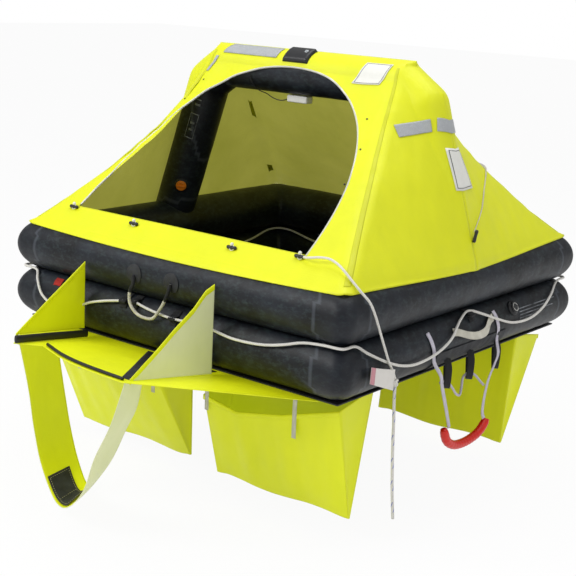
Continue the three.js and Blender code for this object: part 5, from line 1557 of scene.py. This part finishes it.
def valve(name, place, out, cap_look, ridge_look, body, nodes):
    dressed(lathed(f"{name}_seat", flange_profile, place, out, 64), black_rubber, nodes[0])
    cap = dressed(lathed(f"{name}_lid", cap_profile, place, out, 64), cap_look, nodes[1], body=body)
    helper = np.array([0.0, 0.0, 1.0])
    side_way = unit(np.cross(helper, out))
    up_way = np.cross(out, side_way)
    share = np.linspace(-1, 1, 30)
    path = place + side_way * (share * 0.0172)[:, None] + out * 0.0172
    size = 0.0030 * np.sqrt(np.maximum(1 - np.abs(share) ** 8, 0.15))
    wing = tube(f"{name}_grip", path, size, 14, towards=tuple(up_way))
    dressed(wing, cap_look, body=body)
    turned = lathed(f"{name}_ridge", [(0.0148, 0.0152), (0.0150, 0.0162), (0.0158, 0.0166), (0.0166, 0.0162),
                                      (0.0168, 0.0152)], place, out, 64)
    dressed(turned, ridge_look, body=body)
    return cap


valve("leg_valve", ARCH_VALVE, ARCH_VALVE_OUT, orange_plastic, orange_plastic, "arch_cap",
      ("arch_valve_body", "arch_valve_cap"))
valve("side_valve", SIDE_VALVE, SIDE_VALVE_OUT, black_plastic, white_plastic, "tube_cap",
      ("tube_valve_body", "tube_valve_cap"))


# Toggles at the sill and the tie on the right end

def ball(name, centre, radius, look, sides=24):
    a = np.linspace(0, math.pi, 15)
    profile = np.stack([np.sin(a) * radius, -np.cos(a) * radius], 1)
    profile[0, 0] = profile[-1, 0] = radius * 0.02
    return dressed(lathed(name, profile, centre, (0, 0, 1), sides), look)


def capsule(name, start, end, radius, look, sides=20, node=None):
    start, end = np.asarray(start, float), np.asarray(end, float)
    length = float(np.linalg.norm(end - start))
    a = np.linspace(0.05, math.pi / 2, 8)
    low = [(radius * math.sin(t), radius - radius * math.cos(t)) for t in a]
    waist = [(radius * 0.86, length * 0.42), (radius * 0.86, length * 0.58)]
    high = [(r, length - h) for r, h in reversed(low)]
    piece = lathed(name, low + waist + high, start, end - start, sides)
    return dressed(piece, look, *([node] if node else []))


for number, (x, z) in enumerate([(-0.621, 0.463), (-0.272, 0.451), (0.233, 0.445), (0.526, 0.461)]):
    spot = front_cloth(np.array([x]), np.array([z]))[0]
    bar_y = spot[1] - 0.0098
    capsule(f"sill_toggle_{number + 1}", (x - 0.0225, bar_y, z + 0.003), (x + 0.0225, bar_y, z + 0.003),
                  0.0072, black_plastic, node=f"sill_toggle_{number + 1}")
    ball(f"toggle_bead_{number + 1}", (x, bar_y + 0.0015, z + 0.0150), 0.0068, white_plastic)
    turn = np.linspace(0, 1.75 * math.pi, 50)
    loop = np.stack([x + 0.004 + 0.010 * np.sin(turn), bar_y - 0.0035 + 0.004 * np.cos(turn),
                     z + 0.003 + 0.0085 * np.cos(turn)], 1)
    dressed(tube(f"toggle_cord_{number + 1}", loop, 0.0013, 8, towards=(0, 1, 0)), white_plastic)

tie_run = np.linspace(0, 1, 60)
tie_y = mix(0.418, 0.030, tie_run ** 0.9)
tie_z = mix(0.700, 0.503, tie_run)
tie_path = right_cloth(tie_y, tie_z)
tie_path = tie_path + unit(tie_path - np.array([0, 0.2, 0.3])) * 0.0065
dressed(strap("end_tie", tie_path, (0.2, 0.55, 0.8), 0.010, 0.0014, 4), lilac_webbing, "canopy_tie")
spot = right_cloth(np.array([0.009]), np.array([0.488]))[0] + np.array([0.0145, 0, 0.002])
reach = np.array([0, 0.009, 0.0235])
capsule("tie_toggle", spot - reach, spot + reach, 0.0072, black_plastic)


# Gas bottle and hose below the floor

steel = Finish("bottle_steel", roughness=0.32, metallic=0.0, coat_weight=0.3)
steel.set("Base Color", steel.blend(steel.noise(9, 5).clear(0.35, 0.7), tone(58, 62, 66), tone(74, 78, 82)))
steel.set("Roughness", 0.3 + steel.noise(30) * 0.2)
steel.bump(steel.noise(160, 3), 0.0003, 0.3)
steel_look = steel.material
brass = Finish("valve_metal", roughness=0.3, metallic=1.0)
brass.set("Base Color", brass.blend(brass.noise(60, 3), tone(150, 140, 112), tone(112, 104, 84)))
brass_look = brass.material
a = np.linspace(0.04, math.pi / 2, 14)
low_end = [(0.054 * math.sin(t), 0.040 - 0.040 * math.cos(t)) for t in a]
high_end = [(0.054 * math.sin(t), 0.320 + 0.040 * math.cos(t)) for t in a[::-1]]
bottle_profile = low_end + [(0.054, 0.120), (0.054, 0.240)] + high_end + [(0.017, 0.3602), (0.001, 0.3602)]
dressed(lathed("bottle", bottle_profile, (0.400, -0.180, -0.0576), (0, 1, 0), 56), steel_look, "gas_bottle")
for where, y in (("front", -0.095), ("rear", 0.095)):
    band_profile = [(0.0545, -0.014), (0.0570, -0.0138), (0.0573, -0.012), (0.0573, 0.012), (0.0570, 0.0138),
                    (0.0545, 0.014)]
    dressed(lathed(f"bottle_band_{where}", band_profile, (0.400, y, -0.0576), (0, 1, 0), 48), black_webbing,
            f"bottle_strap_{where}")
head_profile = [(0.001, 0.0), (0.016, 0.0), (0.018, 0.003), (0.018, 0.024), (0.014, 0.030), (0.014, 0.042),
                (0.019, 0.045), (0.019, 0.054), (0.016, 0.057), (0.001, 0.057)]
dressed(lathed("bottle_head", head_profile, (0.400, 0.1803, -0.0576), (0, 1, 0), 40), brass_look,
        "bottle_valve")
dressed(lathed("bottle_outlet", [(0.001, 0), (0.0075, 0), (0.0075, 0.018), (0.0092, 0.020), (0.0092, 0.040),
                                 (0.001, 0.040)], (0.398, 0.206, -0.0576), (-1, 0, 0), 24), brass_look)
hose_path = smooth_path(np.array([
    (357.6, 206, -57.6), (336, 206, -57.6), (280, 218, -54), (190, 268, -44), (110, 360, -30), (66, 480, -20),
    (58, 620, -16), (58, 740, -16), (58, 800, -20), (58, 829, -8), (58, 820, 6),
    (58, 801, 26.6)]) / 1000, 200)
dressed(tube("supply_hose", hose_path, 0.006, 14, towards=(0.2, 0.1, 1)), black_rubber, "gas_hose")

floor_look = black_cloth("floor_cloth", (30, 31, 36)).material
floor_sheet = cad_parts["floor_sheet"]
floor_sheet.data.materials.clear()
floor_sheet.data.materials.append(floor_look)


def leg_bars():
    """Plain pale bars printed on the left leg, on lines along it and round it."""
    low, high = ARCH_LINE[0], ARCH_LINE[1]
    ahead = unit(high - low)
    ahead = np.array([ahead[0], 0, ahead[1]])
    face = unit(np.array([0.6105, -0.766, -0.2013]))
    side = np.cross(ahead, face)
    grids = []
    for start, length, turn, width in ((0.36, 0.12, 6, 1.6), (0.36, 0.12, 30, 1.6), (0.365, 0.004, 18, 22),
                                       (0.475, 0.004, 18, 22), (0.40, 0.010, 18, 12), (0.43, 0.010, 18, 12),
                                       (0.515, 0.010, 18, 16), (0.54, 0.006, 18, 16)):
        run = start + np.linspace(0, length, 8)[:, None, None]
        angle = np.radians(turn + np.linspace(-0.5, 0.5, 6) * width)[None, :, None]
        base = np.array([low[0], 0, low[1]]) + ahead * run
        grids.append(base + (face * np.cos(angle) - side * np.sin(angle)) * (ARCH_R + 0.0002))
    piece = sewn("leg_print", grids, weld=1e-6)
    thick(piece, 0.0002, 1)
    if piece.data.polygons[0].normal.y > 0:
        piece.data.flip_normals()
    return dressed(piece, grey_print)


def tube_bars():
    """Plain pale bars printed on the right side of the lower tube, on lines along it."""
    grids = []
    for y, length, turn, width in ((0.36, 0.30, 24, 2.2), (0.36, 0.24, 17, 2.2), (0.36, 0.28, 10, 2.2),
                                   (0.36, 0.12, 3, 2.2)):
        along = (y + np.linspace(0, length, 24))[:, None]
        angle = np.radians(turn + np.linspace(-0.5, 0.5, 5) * width)[None]
        reach = TUBE_R + 0.0012
        grids.append(np.stack([TUBE_HALF + reach * np.cos(angle) + 0 * along, along + 0 * angle,
                               LOWER_Z + reach * np.sin(angle) + 0 * along], -1))
    piece = sewn("tube_print", grids, away_from=(0, 0, 0.1), weld=1e-6)
    thick(piece, 0.0002, 1)
    return dressed(piece, grey_print)


grey_print = black_cloth("grey_print", (138, 142, 148)).material
leg_bars()
tube_bars()


# Floor, light and background

def backdrop():
    """A wide plain floor that is white to the camera and keeps the raft's shadow."""
    grid = np.array([[(-30, -30, -0.566), (30, -30, -0.566)], [(-30, 30, -0.566), (30, 30, -0.566)]], float)
    piece = surface("studio_floor", grid)
    if piece.data.polygons[0].normal.z < 0:
        piece.data.flip_normals()
    finish = Finish("studio_floor", roughness=0.9)
    cloud = finish.noise(0.6, 2) * 0.2
    finish.set("Base Color", finish.blend(cloud, tone(246, 246, 246), tone(242, 242, 242)))
    tree = finish.tree
    glow = finish.node("ShaderNodeEmission", None, {"Color": (1, 1, 1, 1), "Strength": 1.0})
    rays = finish.node("ShaderNodeLightPath")
    camera_ray = Value(finish, rays.outputs["Is Camera Ray"])
    seen = camera_ray.maths("MAXIMUM", Value(finish, rays.outputs["Is Glossy Ray"]))
    seen = seen.maths("MAXIMUM", Value(finish, rays.outputs["Is Transmission Ray"]))
    blend = finish.node("ShaderNodeMixShader", None, {0: seen * 0.94})
    tree.links.new(finish.shader.outputs[0], blend.inputs[1])
    tree.links.new(glow.outputs[0], blend.inputs[2])
    tree.links.new(blend.outputs[0], tree.nodes["Material Output"].inputs["Surface"])
    piece.data.materials.append(finish.material)


def studio_light():
    """A soft white world, a broad key lamp from the left front and a weak fill from the right."""
    world = bpy.data.worlds.new("studio")
    bpy.context.scene.world = world
    world.use_nodes = True
    nodes, links = world.node_tree.nodes, world.node_tree.links
    plain = nodes["Background"]
    plain.inputs["Color"].default_value = (1, 1, 1, 1)
    plain.inputs["Strength"].default_value = 0.46
    white = nodes.new("ShaderNodeBackground")
    white.inputs["Color"].default_value = (1, 1, 1, 1)
    white.inputs["Strength"].default_value = 1.0
    rays = nodes.new("ShaderNodeLightPath")
    blend = nodes.new("ShaderNodeMixShader")
    links.new(rays.outputs["Is Camera Ray"], blend.inputs[0])
    links.new(plain.outputs[0], blend.inputs[1])
    links.new(white.outputs[0], blend.inputs[2])
    links.new(blend.outputs[0], nodes["World Output"].inputs["Surface"])
    for name, place, power, size in (
            ("key", (-2.2, -4.6, 4.2), 190, 3.2), ("top", (0.4, 0.6, 5.2), 130, 4.0),
            ("fill", (4.6, -1.2, 2.2), 20, 3.0)):
        light = bpy.data.lights.new(name, "AREA")
        light.energy = power
        light.size = size
        lamp = bpy.data.objects.new(name, light)
        bpy.context.collection.objects.link(lamp)
        lamp.location = place
        lamp.rotation_euler = (Vector((0, -0.1, 0.3)) - Vector(place)).to_track_quat("-Z", "Y").to_euler()
    bpy.context.scene.view_settings.view_transform = "Standard"


backdrop()
studio_light()
